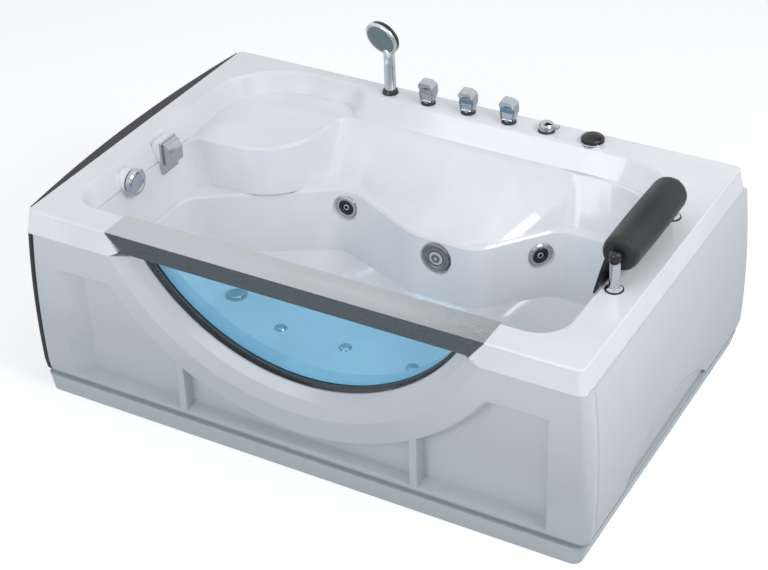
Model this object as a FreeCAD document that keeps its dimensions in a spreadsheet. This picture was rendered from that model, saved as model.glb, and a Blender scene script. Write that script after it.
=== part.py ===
import FreeCAD, Part
import math
import os
import re
import Sketcher
from FreeCAD import Placement, Rotation, Vector

# A two-skirt whirlpool bath. Millimetres. The origin is on the floor under the middle of the rim,
# +X runs to the head end, +Y to the back deck that carries the taps, +Z up.

doc = FreeCAD.newDocument("WhirlpoolBath")
sheet = doc.addObject("Spreadsheet::Sheet", "Sizes")

SIZES = [
    # rim and basin
    ("rim_length", 1700, "rim along X"),
    ("rim_width", 1100, "rim along Y"),
    ("deck_height", 615, "floor to the top of the deck"),
    ("lip_height", 72, "turned-down edge of the rim"),
    ("lip_flare", 10, "how far the lip's lower edge stands out"),
    ("rim_corner", 20, "plan radius of the rim's corners"),
    ("rim_round", 6, "rounding of the deck's edge"),
    ("shell_wall", 6, "acrylic and its backing"),
    ("basin_floor", 110, "floor to the inside of the basin's bottom"),
    ("ledge_drop", 218, "deck to the armrest ledge"),
    ("seat_drop", 70, "deck to the corner seat"),
    # window and trim
    ("arch_rise", 230, "centre of the window's arc above the deck"),
    ("pane_radius", 572, "arc of the glass"),
    ("pane_thick", 8, "toughened glass"),
    ("window_inset", 67, "rim edge to the back of the glass"),
    ("seal_width", 8, "rubber seen round the glass"),
    ("seal_lip", 3, "rubber over each face of the glass"),
    ("trim_length", 1160, "steel trim along X"),
    ("trim_depth", 100, "steel trim from front to back"),
    ("trim_drop", 54, "front face of the trim"),
    ("trim_sheet", 3, "steel sheet"),
    ("trim_slant", 40, "how much shorter the trim's lower edge is at each end"),
    # skirts
    ("skirt_wall", 4, "moulded skirt skin"),
    ("skirt_depth", 44, "front skirt from front to back"),
    ("skirt_bulge", 34, "how far the skirts stand out past the rim's ends"),
    ("skirt_stand", 5, "front skirt's face in front of the rim's edge"),
    ("plinth_height", 52, "plinth at the floor"),
    ("groove_height", 16, "shadow groove over the plinth"),
    ("groove_depth", 14, "depth of the shadow groove"),
    ("plinth_stand", 9, "plinth's face in front of the rim's edge"),
    ("plinth_tuck", 26, "how far the skirts draw in again at the floor"),
    ("cove_radius", 650, "outer edge of the window's cove"),
    ("cove_mid", 607, "crease in the cove"),
    ("cove_crease", 20, "depth of that crease"),
    ("band_radius", 712, "arch where the panels begin"),
    ("panel_depth", 34, "recess of the panels"),
    ("panel_draft", 16, "slope of the panels' edges"),
    ("panel_end", 88, "skirt's end to the outer panels"),
    ("panel_slope", 62, "slope at the outer ends of the panels"),
    ("panel_top", 440, "top of the outer panels"),
    ("panel_foot", 80, "sill under the panels"),
    ("rib_place", 372, "middle of each upright rib"),
    ("rib_width", 24, "upright ribs between the panels"),
    ("wave_depth", 9, "relief of the wave on the end skirt"),
    ("wave_radius", 470, "arc of that wave"),
    ("wall_seal_bow", 38, "rubber wall seal at its widest"),
    ("wall_seal_edge", 6, "rubber wall seal at its ends"),
    ("wall_seal_thick", 10, "rubber wall seal"),
    # frame
    ("rail_size", 30, "square tube of the frame"),
    ("rail_floor", 62, "floor to the rails"),
    ("rail_front", 470, "centre to the front rail's outer face"),
    ("rail_back", 530, "centre to the back rail's outer face"),
    ("rail_end", 815, "centre to the end rails' outer faces"),
    ("cross_left", -400, "right face of the left cross rail"),
    ("cross_right", 300, "left face of the right cross rail"),
    ("tube_wall", 2, "wall of the square tube"),
    ("board_thick", 12, "boards on the rails"),
    ("foot_rod", 6, "radius of the levelling rods"),
    ("foot_pad", 25, "radius of the levelling feet"),
    ("foot_pad_high", 8, "height of the levelling feet"),
    ("nut_flats", 19, "across the flats of the feet's nuts"),
    ("nut_high", 10, "height of the feet's nuts"),
    # wall fittings
    ("hole_slack", 0.5, "radial room of a fitting in its hole"),
    ("running", 0.08, "radial clearance of turning and sliding fits"),
    ("jet_flange", 37, "radius of a jet's chrome flange"),
    ("jet_barrel", 29, "radius of a jet's body"),
    ("jet_face", 25.5, "radius of a jet's turning face"),
    ("jet_ball", 13, "radius of a jet's swivelling nozzle"),
    ("jet_length", 48, "jet's body behind the wall"),
    ("jet_left", -287, "jet beside the seat, along X"),
    ("jet_left_back", 304, "that jet's flat in front of the rim's back edge"),
    ("jet_left_height", 341, "that jet's height"),
    ("jet_right", 347, "jet beside the head end, along X"),
    ("jet_right_back", 269, "that jet's flat in front of the rim's back edge"),
    ("jet_right_height", 328, "that jet's height"),
    ("lamp_height", 335, "height of the lamp"),
    ("lamp_place", 88, "lamp along X"),
    ("lamp_back", 424, "lamp's flat in front of the rim's back edge"),
    ("lamp_ring", 47, "radius of the lamp's ring"),
    ("lamp_glass", 30, "radius of the lamp's glass"),
    ("lamp_body", 35, "radius of the lamp's body"),
    ("overflow_height", 557, "height of the overflow knob"),
    ("overflow_place", -212, "overflow knob along Y"),
    ("overflow_knob", 41, "radius of the overflow knob"),
    ("overflow_barrel", 22, "radius of the overflow's body"),
    ("overflow_inset", 112, "overflow's flat from the rim's end"),
    ("spout_place", -30, "filler spout along Y"),
    ("spout_height", 556, "middle of the filler spout"),
    ("spout_width", 76, "filler spout along Y"),
    ("spout_tall", 104, "filler spout along Z"),
    ("spout_stem", 14, "radius of the filler spout's stem"),
    ("spout_reach", 26, "filler spout in front of its flat"),
    ("suction_height", 190, "height of the suction fitting"),
    ("suction_place", -180, "suction fitting along Y"),
    ("suction_inset", 190, "suction fitting's flat from the rim's end"),
    ("suction_cover", 50, "radius of the suction cover"),
    # floor fittings
    ("floor_jet_line", -118, "line of the floor air jets along Y"),
    ("floor_jet_first", -314, "first floor air jet along X"),
    ("floor_jet_pitch", 224, "spacing of the floor air jets"),
    ("floor_jet_cap", 20, "radius of a floor air jet's cap"),
    ("drain_place_x", -530, "drain along X"),
    ("drain_place_y", -30, "drain along Y"),
    ("drain_flange", 35, "radius of the drain's flange"),
    ("drain_bore", 27, "radius of the drain's mouth"),
    ("waste_radius", 20, "outside radius of the waste pipe"),
    ("waste_height", 34, "height of the waste pipe"),
    ("plug_lift", 10, "travel of the pop-up plug"),
    # deck fittings
    ("tap_back", 53, "line of the deck fittings from the rim's back edge"),
    ("tap_first", -133, "first tap along X"),
    ("tap_pitch", 136, "spacing of the taps"),
    ("tap_width", 48, "width of a tap's lever"),
    ("tap_tall", 84, "height of a tap over the deck"),
    ("tap_neck", 14, "radius of a tap's neck"),
    ("holder_place", -270, "shower holder along X"),
    ("holder_back", 44, "shower holder from the rim's back edge"),
    ("holder_radius", 25, "radius of the shower holder"),
    ("handle_radius", 18, "radius of the hand shower's handle"),
    ("handle_length", 128, "hand shower's handle over the holder"),
    ("head_radius", 58, "radius of the hand shower's head"),
    ("head_thick", 26, "thickness of the hand shower's head"),
    ("head_tilt", 38, "tilt of the hand shower's face from upright, degrees"),
    ("air_knob_place", 262, "air regulator along X"),
    ("air_knob", 23, "radius of the air regulator's knob"),
    ("button_place", 410, "button along X"),
    ("button_ring", 37, "radius of the button's ring"),
    ("button_cap", 30, "radius of the button's cap"),
    ("button_travel", 5, "travel of the button"),
    # pillow
    ("post_inset", 77, "pillow posts from the rim's end"),
    ("post_front", -188, "near pillow post along Y"),
    ("post_back", 208, "far pillow post along Y"),
    ("post_radius", 15, "radius of the pillow posts"),
    ("bar_height", 92, "pillow bar above the deck"),
    ("bar_radius", 7, "radius of the pillow bar"),
    ("pillow_radius", 52, "radius of the pillow"),
    ("pillow_gap", 18, "post's centre to the pillow's end"),
    # pump, blower, pipes
    ("pump_line", 430, "pump's shaft along Y"),
    ("pump_height", 190, "pump's shaft above the floor"),
    ("pump_face", 640, "pump's inlet face along X"),
    ("pump_case", 75, "radius of the pump's wet end"),
    ("motor_radius", 62, "radius of the pump's motor"),
    ("motor_length", 215, "length of the pump's motor"),
    ("shaft_radius", 7, "radius of the pump's shaft"),
    ("impeller_radius", 55, "radius of the impeller"),
    ("blower_place", -560, "blower along X"),
    ("blower_line", 430, "blower along Y"),
    ("blower_radius", 84, "radius of the blower"),
    ("blower_high", 140, "height of the blower"),
    ("water_pipe", 16, "outside radius of the jets' water pipe"),
    ("suction_pipe", 25, "outside radius of the suction pipe"),
    ("air_pipe", 9, "outside radius of the jets' air pipe"),
    ("blower_pipe", 12, "outside radius of the floor jets' air pipe"),
    ("filler_pipe", 9, "outside radius of the filler pipe"),
    ("overflow_pipe", 16, "outside radius of the overflow pipe"),
    ("pipe_wall", 2, "wall of the pipes"),
    ("box_long", 160, "control box along X"),
    ("box_deep", 70, "control box along Y"),
    ("box_high", 130, "control box along Z"),
    ("box_foot", 120, "floor to the control box"),
]

for row, (alias, number, meaning) in enumerate(SIZES, start=1):
    sheet.set(f"A{row}", meaning)
    sheet.set(f"B{row}", str(number))
    sheet.setAlias(f"B{row}", alias)
doc.recompute()

NODES = []
ALIASES = {alias for alias, number, meaning in SIZES}


def driven(formula):
    """A formula as an object outside the sheet writes it, with the sheet named before each size."""
    return re.sub(r"[a-z]\w*", lambda word: f"Sizes.{word[0]}" if word[0] in ALIASES else word[0], formula)


def size(formula):
    """The number a formula of the sheet's sizes gives."""
    return float(sheet.evalExpression(formula))


def bind(thing, **formulas):
    """Ties each named property to a formula of the sheet's sizes."""
    for name, formula in formulas.items():
        thing.setExpression(name, driven(formula))
    return thing


def stand(thing, x="0", y="0", z="0", turn=None):
    """Puts a piece at a place worked out from the sheet, turned about its own origin."""
    if turn is not None:
        thing.Placement = Placement(Vector(0, 0, 0), turn)
    for axis, formula in zip("xyz", (x, y, z)):
        if formula != "0":
            thing.setExpression(f".Placement.Base.{axis}", driven(formula))
    return thing


def node(thing, name):
    """Marks an object as one of the bath's own pieces."""
    thing.Label = name
    NODES.append(thing)
    return thing


# Directions that a turned piece's own +Z can be given.
INTO_BASIN_FROM_BACK = Rotation(Vector(0, 0, 1), Vector(0, -1, 0))
INTO_BASIN_SLANTED = Rotation(Vector(0, 0, 1), Vector(0.776, -0.631, 0))
INTO_BASIN_FROM_FOOT = Rotation(Vector(0, 0, 1), Vector(1, 0, 0))
INTO_BASIN_FROM_HEAD = Rotation(Vector(0, 0, 1), Vector(-4, 0, 3))


def plane(body, role):
    return next(item for item in body.Origin.OriginFeatures if item.Role == role)


def draw(body, role, corners, lift=None):
    """A closed outline on one of a body's own planes, each corner held by two driven distances."""
    sketch = body.newObject("Sketcher::SketchObject", "outline")
    sketch.AttachmentSupport = (plane(body, role), [""])
    sketch.MapMode = "FlatFace"
    if lift is not None:
        sketch.setExpression("AttachmentOffset.Base.z", driven(lift))
    spots = [Vector(size(a), size(b), 0) for a, b in corners]
    ends = spots[1:] + spots[:1]
    sketch.addGeometry([Part.LineSegment(a, b) for a, b in zip(spots, ends)], False)
    count = len(corners)
    for index in range(count):
        sketch.addConstraint(Sketcher.Constraint("Coincident", index, 2, (index + 1) % count, 1))
    for index, (across, up) in enumerate(corners):
        for kind, formula, axis in (("DistanceX", across, -2), ("DistanceY", up, -1)):
            if formula == "0":
                sketch.addConstraint(Sketcher.Constraint("PointOnObject", index, 1, axis))
            else:
                made = Sketcher.Constraint(kind, -1, 1, index, 1, size(formula))
                sketch.setExpression(f"Constraints[{sketch.addConstraint(made)}]", driven(formula))
    return sketch


def turned(name, corners):
    """A body turned about its own Z from a half outline of (radius, height) corners."""
    body = doc.addObject("PartDesign::Body", name)
    sketch = draw(body, "XZ_Plane", corners)
    spin = body.newObject("PartDesign::Revolution", "turn")
    spin.Profile = sketch
    spin.ReferenceAxis = (sketch, ["V_Axis"])
    spin.Angle = 360
    body.Tip = spin
    return body


def padded(name, role, corners, length, lift=None, midplane=False):
    """A body pushed out from an outline on one of its own planes."""
    body = doc.addObject("PartDesign::Body", name)
    sketch = draw(body, role, corners, lift)
    pad = body.newObject("PartDesign::Pad", "pad")
    pad.Profile = sketch
    pad.Midplane = midplane
    pad.setExpression("Length", driven(length))
    body.Tip = pad
    return body


def box(name, long, deep, high):
    return bind(doc.addObject("Part::Box", name), Length=long, Width=deep, Height=high)


def rod(name, radius, length):
    return bind(doc.addObject("Part::Cylinder", name), Radius=radius, Height=length)


def join(name, *pieces):
    whole = doc.addObject("Part::MultiFuse", name)
    whole.Shapes = list(pieces)
    return whole


def cut(name, base, *tools):
    """The base less all the tools."""
    rest = doc.addObject("Part::Cut", name)
    rest.Base = base
    rest.Tool = tools[0] if len(tools) == 1 else join(f"{name}_tools", *tools)
    return rest


def group(name, pieces):
    """Like pieces that share one node, each still a solid of its own."""
    together = doc.addObject("Part::Compound", name)
    together.Links = list(pieces)
    return node(together, name)


def bent_path(points, bend):
    """Straight runs through the points, each corner made as two short mitres like a pipe elbow."""
    spots = [Vector(*point) for point in points]
    path = [spots[0]]
    for before, corner, after in zip(spots, spots[1:], spots[2:]):
        into = (corner - before).normalize()
        out = (after - corner).normalize()
        back_off = bend * math.tan(into.getAngle(out) / 2)
        path += [corner - into * back_off, corner + out * back_off]
    path.append(spots[-1])
    return Part.makePolygon(path)


def pipe_solid(points, radius, bend):
    """A round bar that follows a bent path."""
    along = Vector(*points[1]) - Vector(*points[0])
    ring = Part.Wire(Part.makeCircle(radius, Vector(*points[0]), along))
    return bent_path(points, bend).makePipeShell([ring], True, False, 1)


def pipe(name, points, radius, bend, branches=()):
    """A pipe with open ends, and straight branches that run into it."""
    wall = min(size("pipe_wall"), radius * 0.4)
    outside = pipe_solid(points, radius, bend)
    bore = pipe_solid(points, radius - wall, bend)
    for start, end, branch_radius in branches:
        run = Vector(*end) - Vector(*start)
        outside = outside.fuse(Part.makeCylinder(branch_radius, run.Length, Vector(*start), run))
        bore = bore.fuse(Part.makeCylinder(branch_radius - wall, run.Length, Vector(*start), run))
    made = doc.addObject("Part::Feature", name)
    made.Shape = outside.cut(bore)
    return made


def straight(name, start, end, radius):
    """A straight open pipe between two points."""
    run = Vector(*end) - Vector(*start)
    outer = Part.makeCylinder(radius, run.Length, Vector(*start), run)
    made = doc.addObject("Part::Feature", name)
    made.Shape = outer.cut(Part.makeCylinder(radius - 1.5, run.Length, Vector(*start), run))
    return made


# ---------------------------------------------------------------- the rim and the basin
# The basin is three hollows, one over the other: the well, the space over the armrest ledge, and
# the mouth with the corner seat. Each is lofted between outlines of straight sides and round
# corners. A corner is (x, y, radius), measured from the middle of the rim as drawn, and keeps its
# distance to the nearer edge of the rim when the rim grows. The corners run round from the
# front-left one, past the head end.

DRAWN_LENGTH = 1700
DRAWN_WIDTH = 1100

FLOOR = [
    (-575, -416, 130), (577, -416, 130), (577, 40, 110), (390, 46, 150),
    (215, 22, 150), (0, 22, 150), (-285, 46, 150), (-575, 40, 90),
]
WAIST = [
    (-703, -434, 110), (692, -434, 110), (695, 335, 170), (385, 335, 90),
    (215, 120, 90), (0, 126, 120), (-285, 266, 90), (-705, -5, 70),
]
LEDGE = [
    (-714, -438, 100), (700, -438, 100), (703, 358, 170), (392, 360, 90), (222, 150, 90),
    (0, 156, 120), (-262, 292, 70), (-378, 316, 40), (-424, 102, 190), (-714, 92, 45),
]
SHOULDER = [
    (-748, -443, 90), (713, -442, 85), (716, 404, 220), (400, 422, 250), (215, 408, 250),
    (0, 411, 250), (-250, 424, 200), (-392, 422, 45), (-430, 122, 190), (-744, 110, 40),
]
SEAT = [
    (-749, -444, 90), (714, -443, 85), (717, 420, 220), (-356, 432, 40),
    (-408, 496, 40), (-770, 500, 215), (-745, 112, 70),
]
MOUTH = [
    (-776, -452, 95), (733, -451, 90), (737, 458, 230), (-332, 465, 40),
    (-380, 502, 40), (-783, 511, 230), (-778, 112, 70),
]
LIP_ROUND = 7


def anchored(corners):
    """Corners as drawn, moved out with the edge of the rim that each is nearer to."""
    grown_x = (size("rim_length") - DRAWN_LENGTH) / 2
    grown_y = (size("rim_width") - DRAWN_WIDTH) / 2
    return [(x + math.copysign(grown_x, x), y + math.copysign(grown_y, y), radius) for x, y, radius in corners]


def mixed(low, high, share):
    return [tuple(a + (b - a) * share for a, b in zip(one, other)) for one, other in zip(low, high)]


def rounded_outline(corners, height, growth):
    """Straight sides joined by arcs, with every side moved outward by the growth."""
    spots = [Vector(x, y, 0) for x, y, radius in corners]
    sides = []
    for start, end in zip(spots, spots[1:] + spots[:1]):
        run = (end - start).normalize()
        sides.append((start + Vector(run.y, -run.x, 0) * growth, run))
    arcs = []
    for index, (x, y, radius) in enumerate(corners):
        (near, into), (far, out) = sides[index - 1], sides[index]
        turning = into.x * out.y - into.y * out.x
        gap = far - near
        corner = near + into * ((gap.x * out.y - gap.y * out.x) / turning)
        reach = radius + math.copysign(growth, growth * turning)
        half = into.getAngle(out) / 2
        first = corner - into * (reach * math.tan(half))
        last = corner + out * (reach * math.tan(half))
        middle = corner + (out - into).normalize() * (reach / math.cos(half) - reach)
        arcs.append((first, middle, last))
    edges = []
    for (first, middle, last), following in zip(arcs, arcs[1:] + arcs[:1]):
        edges.append(Part.Arc(first, middle, last).toShape())
        edges.append(Part.makeLine(last, following[0]))
    wire = Part.Wire(edges)
    wire.translate(Vector(0, 0, height))
    return wire


def hollow_form(name, levels):
    """A form lofted through (height, corners, growth) levels."""
    rings = []
    for index, (height, corners, growth) in enumerate(levels):
        ring = doc.addObject("Part::Feature", f"{name}_level_{index}")
        ring.Shape = rounded_outline(anchored(corners), height, growth)
        rings.append(ring)
    form = doc.addObject("Part::Loft", name)
    form.Sections = rings
    form.Solid = True
    form.Ruled = True
    return form


WALL = size("shell_wall")
FLOOR_HEIGHT = size("basin_floor")
DECK_HEIGHT = size("deck_height")
LEDGE_HEIGHT = size("deck_height - ledge_drop")
SEAT_HEIGHT = size("deck_height - seat_drop")
WELL_DEPTH = LEDGE_HEIGHT - FLOOR_HEIGHT
CURVE_FOOT = (0.08, 0.34)
CURVE_KNEE = (0.32, 0.78)


def basin_form(name, growth):
    """The basin's form at a distance outside its inner face: the lining's two faces are two of them."""
    drop = growth
    floor = FLOOR_HEIGHT - drop
    foot = (floor + WELL_DEPTH * CURVE_FOOT[0], mixed(FLOOR, WAIST, CURVE_FOOT[1]), growth)
    knee = (floor + WELL_DEPTH * CURVE_KNEE[0], mixed(FLOOR, WAIST, CURVE_KNEE[1]), growth)
    ledge = LEDGE_HEIGHT - drop
    seat = SEAT_HEIGHT - drop
    top = DECK_HEIGHT
    if growth > 0:
        well_levels = [(floor, FLOOR, growth), foot, knee, (ledge, WAIST, growth)]
        room_levels = [(ledge, LEDGE, growth), (seat, SHOULDER, growth)]
        mouth_levels = [(seat, SEAT, growth), (top - WALL, MOUTH, growth)]
    else:
        well_levels = [(floor, FLOOR, 0), foot, knee, (ledge - LIP_ROUND, WAIST, 0), (ledge, WAIST, LIP_ROUND)]
        room_levels = [(ledge, LEDGE, 0), (seat - LIP_ROUND, SHOULDER, 0), (seat, SHOULDER, LIP_ROUND)]
        mouth_levels = [(seat, SEAT, 0), (top - LIP_ROUND, MOUTH, 0), (top, MOUTH, LIP_ROUND)]
    well = hollow_form(f"{name}_well", well_levels)
    room = hollow_form(f"{name}_room", room_levels)
    return join(name, well, room, hollow_form(f"{name}_mouth", mouth_levels))


basin_outside = basin_form("basin_outside", WALL)
basin_inside = basin_form("basin_inside", 0)

HALF_LENGTH = "rim_length / 2"
HALF_WIDTH = "rim_width / 2"
RIM_OUTLINE = [
    (f"-({HALF_LENGTH})", f"-({HALF_WIDTH})"),
    (HALF_LENGTH, f"-({HALF_WIDTH})"),
    (HALF_LENGTH, HALF_WIDTH),
    (f"-({HALF_LENGTH})", HALF_WIDTH),
]


def upright_edges(shape):
    """The names of a shape's corner edges, which run from one level to another."""
    return [
        f"Edge{number}"
        for number, edge in enumerate(shape.Edges, start=1)
        if abs(edge.Vertexes[0].Z - edge.Vertexes[-1].Z) > 1
    ]


def edges_at(shape, height):
    """The names of a shape's edges that lie at a level."""
    return [
        f"Edge{number}"
        for number, edge in enumerate(shape.Edges, start=1)
        if abs(edge.BoundBox.ZMin - height) < 1e-6 and abs(edge.BoundBox.ZMax - height) < 1e-6
    ]


def rim_pad(name, outline, top, depth, taper=None):
    """A slab pushed down from an outline, with rounded upright corners."""
    body = doc.addObject("PartDesign::Body", name)
    pad = body.newObject("PartDesign::Pad", "slab")
    pad.Profile = draw(body, "XY_Plane", outline, top)
    pad.Reversed = True
    bind(pad, Length=depth)
    if taper is not None:
        bind(pad, TaperAngle=taper)
    doc.recompute()
    corner = body.newObject("PartDesign::Fillet", "corners")
    corner.Base = (pad, upright_edges(pad.Shape))
    bind(corner, Radius="rim_corner")
    body.Tip = corner
    doc.recompute()
    return body


INSIDE_OUTLINE = [
    (f"-({HALF_LENGTH} - shell_wall)", f"-({HALF_WIDTH} - shell_wall)"),
    (f"{HALF_LENGTH} - shell_wall", f"-({HALF_WIDTH} - shell_wall)"),
    (f"{HALF_LENGTH} - shell_wall", f"{HALF_WIDTH} - shell_wall"),
    (f"-({HALF_LENGTH} - shell_wall)", f"{HALF_WIDTH} - shell_wall"),
]
EDGE_BAND = "(rim_round + 4)"
LIP_TAPER = f"atan(lip_flare / (lip_height - {EDGE_BAND}))"


def rim_form():
    """The deck with its rounded edge, and the flared lip that turns down from it."""
    deck = rim_pad("deck", RIM_OUTLINE, "deck_height", EDGE_BAND)
    corners = deck.Tip
    edge_round = deck.newObject("PartDesign::Fillet", "edge")
    edge_round.Base = (corners, edges_at(corners.Shape, size("deck_height")))
    bind(edge_round, Radius="rim_round")
    deck.Tip = edge_round
    under_band = f"deck_height - {EDGE_BAND}"
    lip = rim_pad("lip", RIM_OUTLINE, under_band, f"lip_height - {EDGE_BAND}", LIP_TAPER)
    band_hollow = rim_pad("band_hollow", INSIDE_OUTLINE, "deck_height - shell_wall", f"{EDGE_BAND} - shell_wall")
    lip_hollow = rim_pad("lip_hollow", INSIDE_OUTLINE, under_band, f"lip_height - {EDGE_BAND}", LIP_TAPER)
    return cut("rim", join("rim_block", deck, lip), band_hollow, lip_hollow)


rim = rim_form()

ARCH_HEIGHT = "deck_height + arch_rise"
BACKWARD = Rotation(Vector(0, 0, 1), Vector(0, 1, 0))
WINDOW_BACK = f"-({HALF_WIDTH} - window_inset)"


def disc(name, radius, front, depth):
    """A thick disc about the window's centre, its front face at Y = front."""
    return stand(rod(name, radius, depth), "0", front, ARCH_HEIGHT, BACKWARD)


def below(name, shape, ceiling):
    """The part of a shape under a level, which is how the window's top is squared off."""
    slab = stand(box(f"{name}_slab", "rim_length", "rim_width", ceiling), f"-({HALF_LENGTH})", f"-({HALF_WIDTH})")
    kept = doc.addObject("Part::Common", name)
    kept.Base = shape
    kept.Tool = slab
    return kept


# The window bay is a half-moon porthole moulded into the basin's front, ending in a flat flange.
BAY_DEPTH = "80"
UNDER_DECK = "deck_height - shell_wall"
bay_outside = below(
    "bay_outside",
    disc("bay_outside_disc", "pane_radius + shell_wall", WINDOW_BACK, BAY_DEPTH),
    UNDER_DECK,
)
bay_inside = below(
    "bay_inside",
    disc("bay_inside_disc", "pane_radius - seal_width / 2", f"{WINDOW_BACK} - 1", f"{BAY_DEPTH} + 1"),
    UNDER_DECK,
)

# Moulded seats for the wall fittings: a cup where the wall slopes away, a boss where it leans back.
CUP_LENGTH = "34"
BOSS_LENGTH = "28"
flats = []
bosses = []
flat_cuts = []
bores = []


def behind(place, turn, distance):
    """A place moved back along the direction a fitting faces."""
    facing = turn.multVec(Vector(0, 0, 1))
    return [
        f"{formula} - ({part:.4f}) * {distance}" if abs(part) > 1e-6 else formula
        for part, formula in zip(facing, place)
    ]


def wall_flat(name, radius, hole, place, turn):
    """A cup in the basin's wall with a flat bottom, the room in it, and the hole through it."""
    cup = rod(f"{name}_cup", f"{radius} + 4 + shell_wall", f"{CUP_LENGTH} + shell_wall")
    flats.append(stand(cup, *behind(place, turn, "shell_wall"), turn))
    flat_cuts.append(stand(rod(f"{name}_room", f"{radius} + 4", CUP_LENGTH), *place, turn))
    bores.append(stand(rod(f"{name}_hole", f"{hole} + hole_slack", "60"), *behind(place, turn, "40"), turn))
    nut_room = rod(f"{name}_nut_room", f"{radius} + 5.5", "40")
    flat_cuts.append(stand(nut_room, *behind(place, turn, "(shell_wall + 40)"), turn))


def wall_boss(name, boss, room, hole, place, turn):
    """A boss that stands off the basin's wall to a flat face, the room in front, and the hole through it."""
    bosses.append(boss)
    flat_cuts.append(room)
    bores.append(stand(rod(f"{name}_hole", f"{hole} + hole_slack", "60"), *behind(place, turn, "40"), turn))


LAMP_Y = f"{HALF_WIDTH} - lamp_back"
OVERFLOW_X = f"-({HALF_LENGTH} - overflow_inset)"
SUCTION_X = f"{HALF_LENGTH} - suction_inset"
JET_1 = ("jet_left", f"{HALF_WIDTH} - jet_left_back", "jet_left_height")
JET_2 = ("jet_right", f"{HALF_WIDTH} - jet_right_back", "jet_right_height")
LAMP = ("lamp_place", LAMP_Y, "lamp_height")
OVERFLOW = (OVERFLOW_X, "overflow_place", "overflow_height")
SPOUT = (OVERFLOW_X, "spout_place", "spout_height")
SUCTION = (SUCTION_X, "suction_place", "suction_height")
wall_flat("jet_1", "jet_flange", "jet_barrel", JET_1, INTO_BASIN_FROM_BACK)
wall_flat("jet_2", "jet_flange", "jet_barrel", JET_2, INTO_BASIN_SLANTED)
wall_flat("lamp", "lamp_ring", "lamp_body", LAMP, INTO_BASIN_FROM_BACK)
wall_boss(
    "overflow",
    stand(rod("overflow_boss", "overflow_knob - 3", BOSS_LENGTH), *behind(OVERFLOW, INTO_BASIN_FROM_FOOT, BOSS_LENGTH), INTO_BASIN_FROM_FOOT),
    stand(rod("overflow_room", "overflow_knob + 3", CUP_LENGTH), *OVERFLOW, INTO_BASIN_FROM_FOOT),
    "overflow_barrel", OVERFLOW, INTO_BASIN_FROM_FOOT,
)
wall_boss(
    "spout",
    stand(
        box("spout_boss", BOSS_LENGTH, "spout_width - 6", "spout_tall - 6"),
        f"{OVERFLOW_X} - {BOSS_LENGTH}", "spout_place - spout_width / 2 + 3", "spout_height - spout_tall / 2 + 3",
    ),
    stand(
        box("spout_room", CUP_LENGTH, "spout_width + 4", "spout_tall + 4"),
        OVERFLOW_X, "spout_place - spout_width / 2 - 2", "spout_height - spout_tall / 2 - 2",
    ),
    "spout_stem", SPOUT, INTO_BASIN_FROM_FOOT,
)
wall_flat("suction", "suction_cover", "suction_pipe + 5", SUCTION, INTO_BASIN_FROM_HEAD)

TAP_Y = f"{HALF_WIDTH} - tap_back"
HOLDER_Y = f"{HALF_WIDTH} - holder_back"
POST_X = f"{HALF_LENGTH} - post_inset"


def drilled(name, radius, x, y, z, depth):
    return stand(rod(name, f"{radius} + hole_slack", depth), x, y, z)


def tap_x(index):
    return f"tap_first + {index} * tap_pitch"


def floor_jet_x(index):
    return f"floor_jet_first + {index} * floor_jet_pitch"


TAP_NAMES = ["diverter", "cold", "hot"]
SHANK = "12"
deck_holes = [drilled(f"{name}_hole", SHANK, tap_x(i), TAP_Y, "deck_height - 20", "40") for i, name in enumerate(TAP_NAMES)]
deck_holes.append(drilled("holder_hole", "handle_radius + 3", "holder_place", HOLDER_Y, "deck_height - 20", "40"))
deck_holes.append(drilled("air_knob_hole", SHANK, "air_knob_place", TAP_Y, "deck_height - 20", "40"))
deck_holes.append(drilled("button_hole", "button_cap + 4", "button_place", TAP_Y, "deck_height - 20", "40"))
deck_holes.append(drilled("near_post_hole", "4", POST_X, "post_front", "deck_height - 20", "40"))
deck_holes.append(drilled("far_post_hole", "4", POST_X, "post_back", "deck_height - 20", "40"))
floor_holes = [
    drilled(f"floor_jet_hole_{i}", "11", floor_jet_x(i), "floor_jet_line", "basin_floor - 20", "40") for i in range(3)
]
floor_holes.append(drilled("drain_hole", "drain_bore + 3", "drain_place_x", "drain_place_y", "basin_floor - 20", "40"))

# The trim lies in a shallow seat in the deck and over the lip, and the lip is cut away under it.
TRIM_BACK = f"-({HALF_WIDTH} - trim_depth)"
trim_seat = stand(
    box("trim_seat", "trim_length", "trim_depth + 1", "trim_sheet + 1"),
    "-trim_length / 2", f"-({HALF_WIDTH} + 1)", "deck_height - trim_sheet",
)
TRIM_FACE = [
    ("-trim_length / 2", "deck_height + 1"),
    ("-trim_length / 2", "deck_height - trim_sheet"),
    ("-(trim_length / 2 - trim_slant)", "deck_height - trim_drop"),
    ("trim_length / 2 - trim_slant", "deck_height - trim_drop"),
    ("trim_length / 2", "deck_height - trim_sheet"),
    ("trim_length / 2", "deck_height + 1"),
]
face_seat = stand(
    padded("face_seat", "XZ_Plane", TRIM_FACE, "lip_flare + 8"), "0", f"-({HALF_WIDTH} - trim_sheet)",
)
lip_opening = stand(
    padded(
        "lip_opening", "XZ_Plane",
        [
            ("-(trim_length / 2 - trim_slant)", "deck_height - trim_drop"),
            ("-(trim_length / 2 - 8)", "deck_height - lip_height - 1"),
            ("trim_length / 2 - 8", "deck_height - lip_height - 1"),
            ("trim_length / 2 - trim_slant", "deck_height - trim_drop"),
        ],
        "40",
    ),
    "0", f"-({HALF_WIDTH} - 20)",
)

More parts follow.
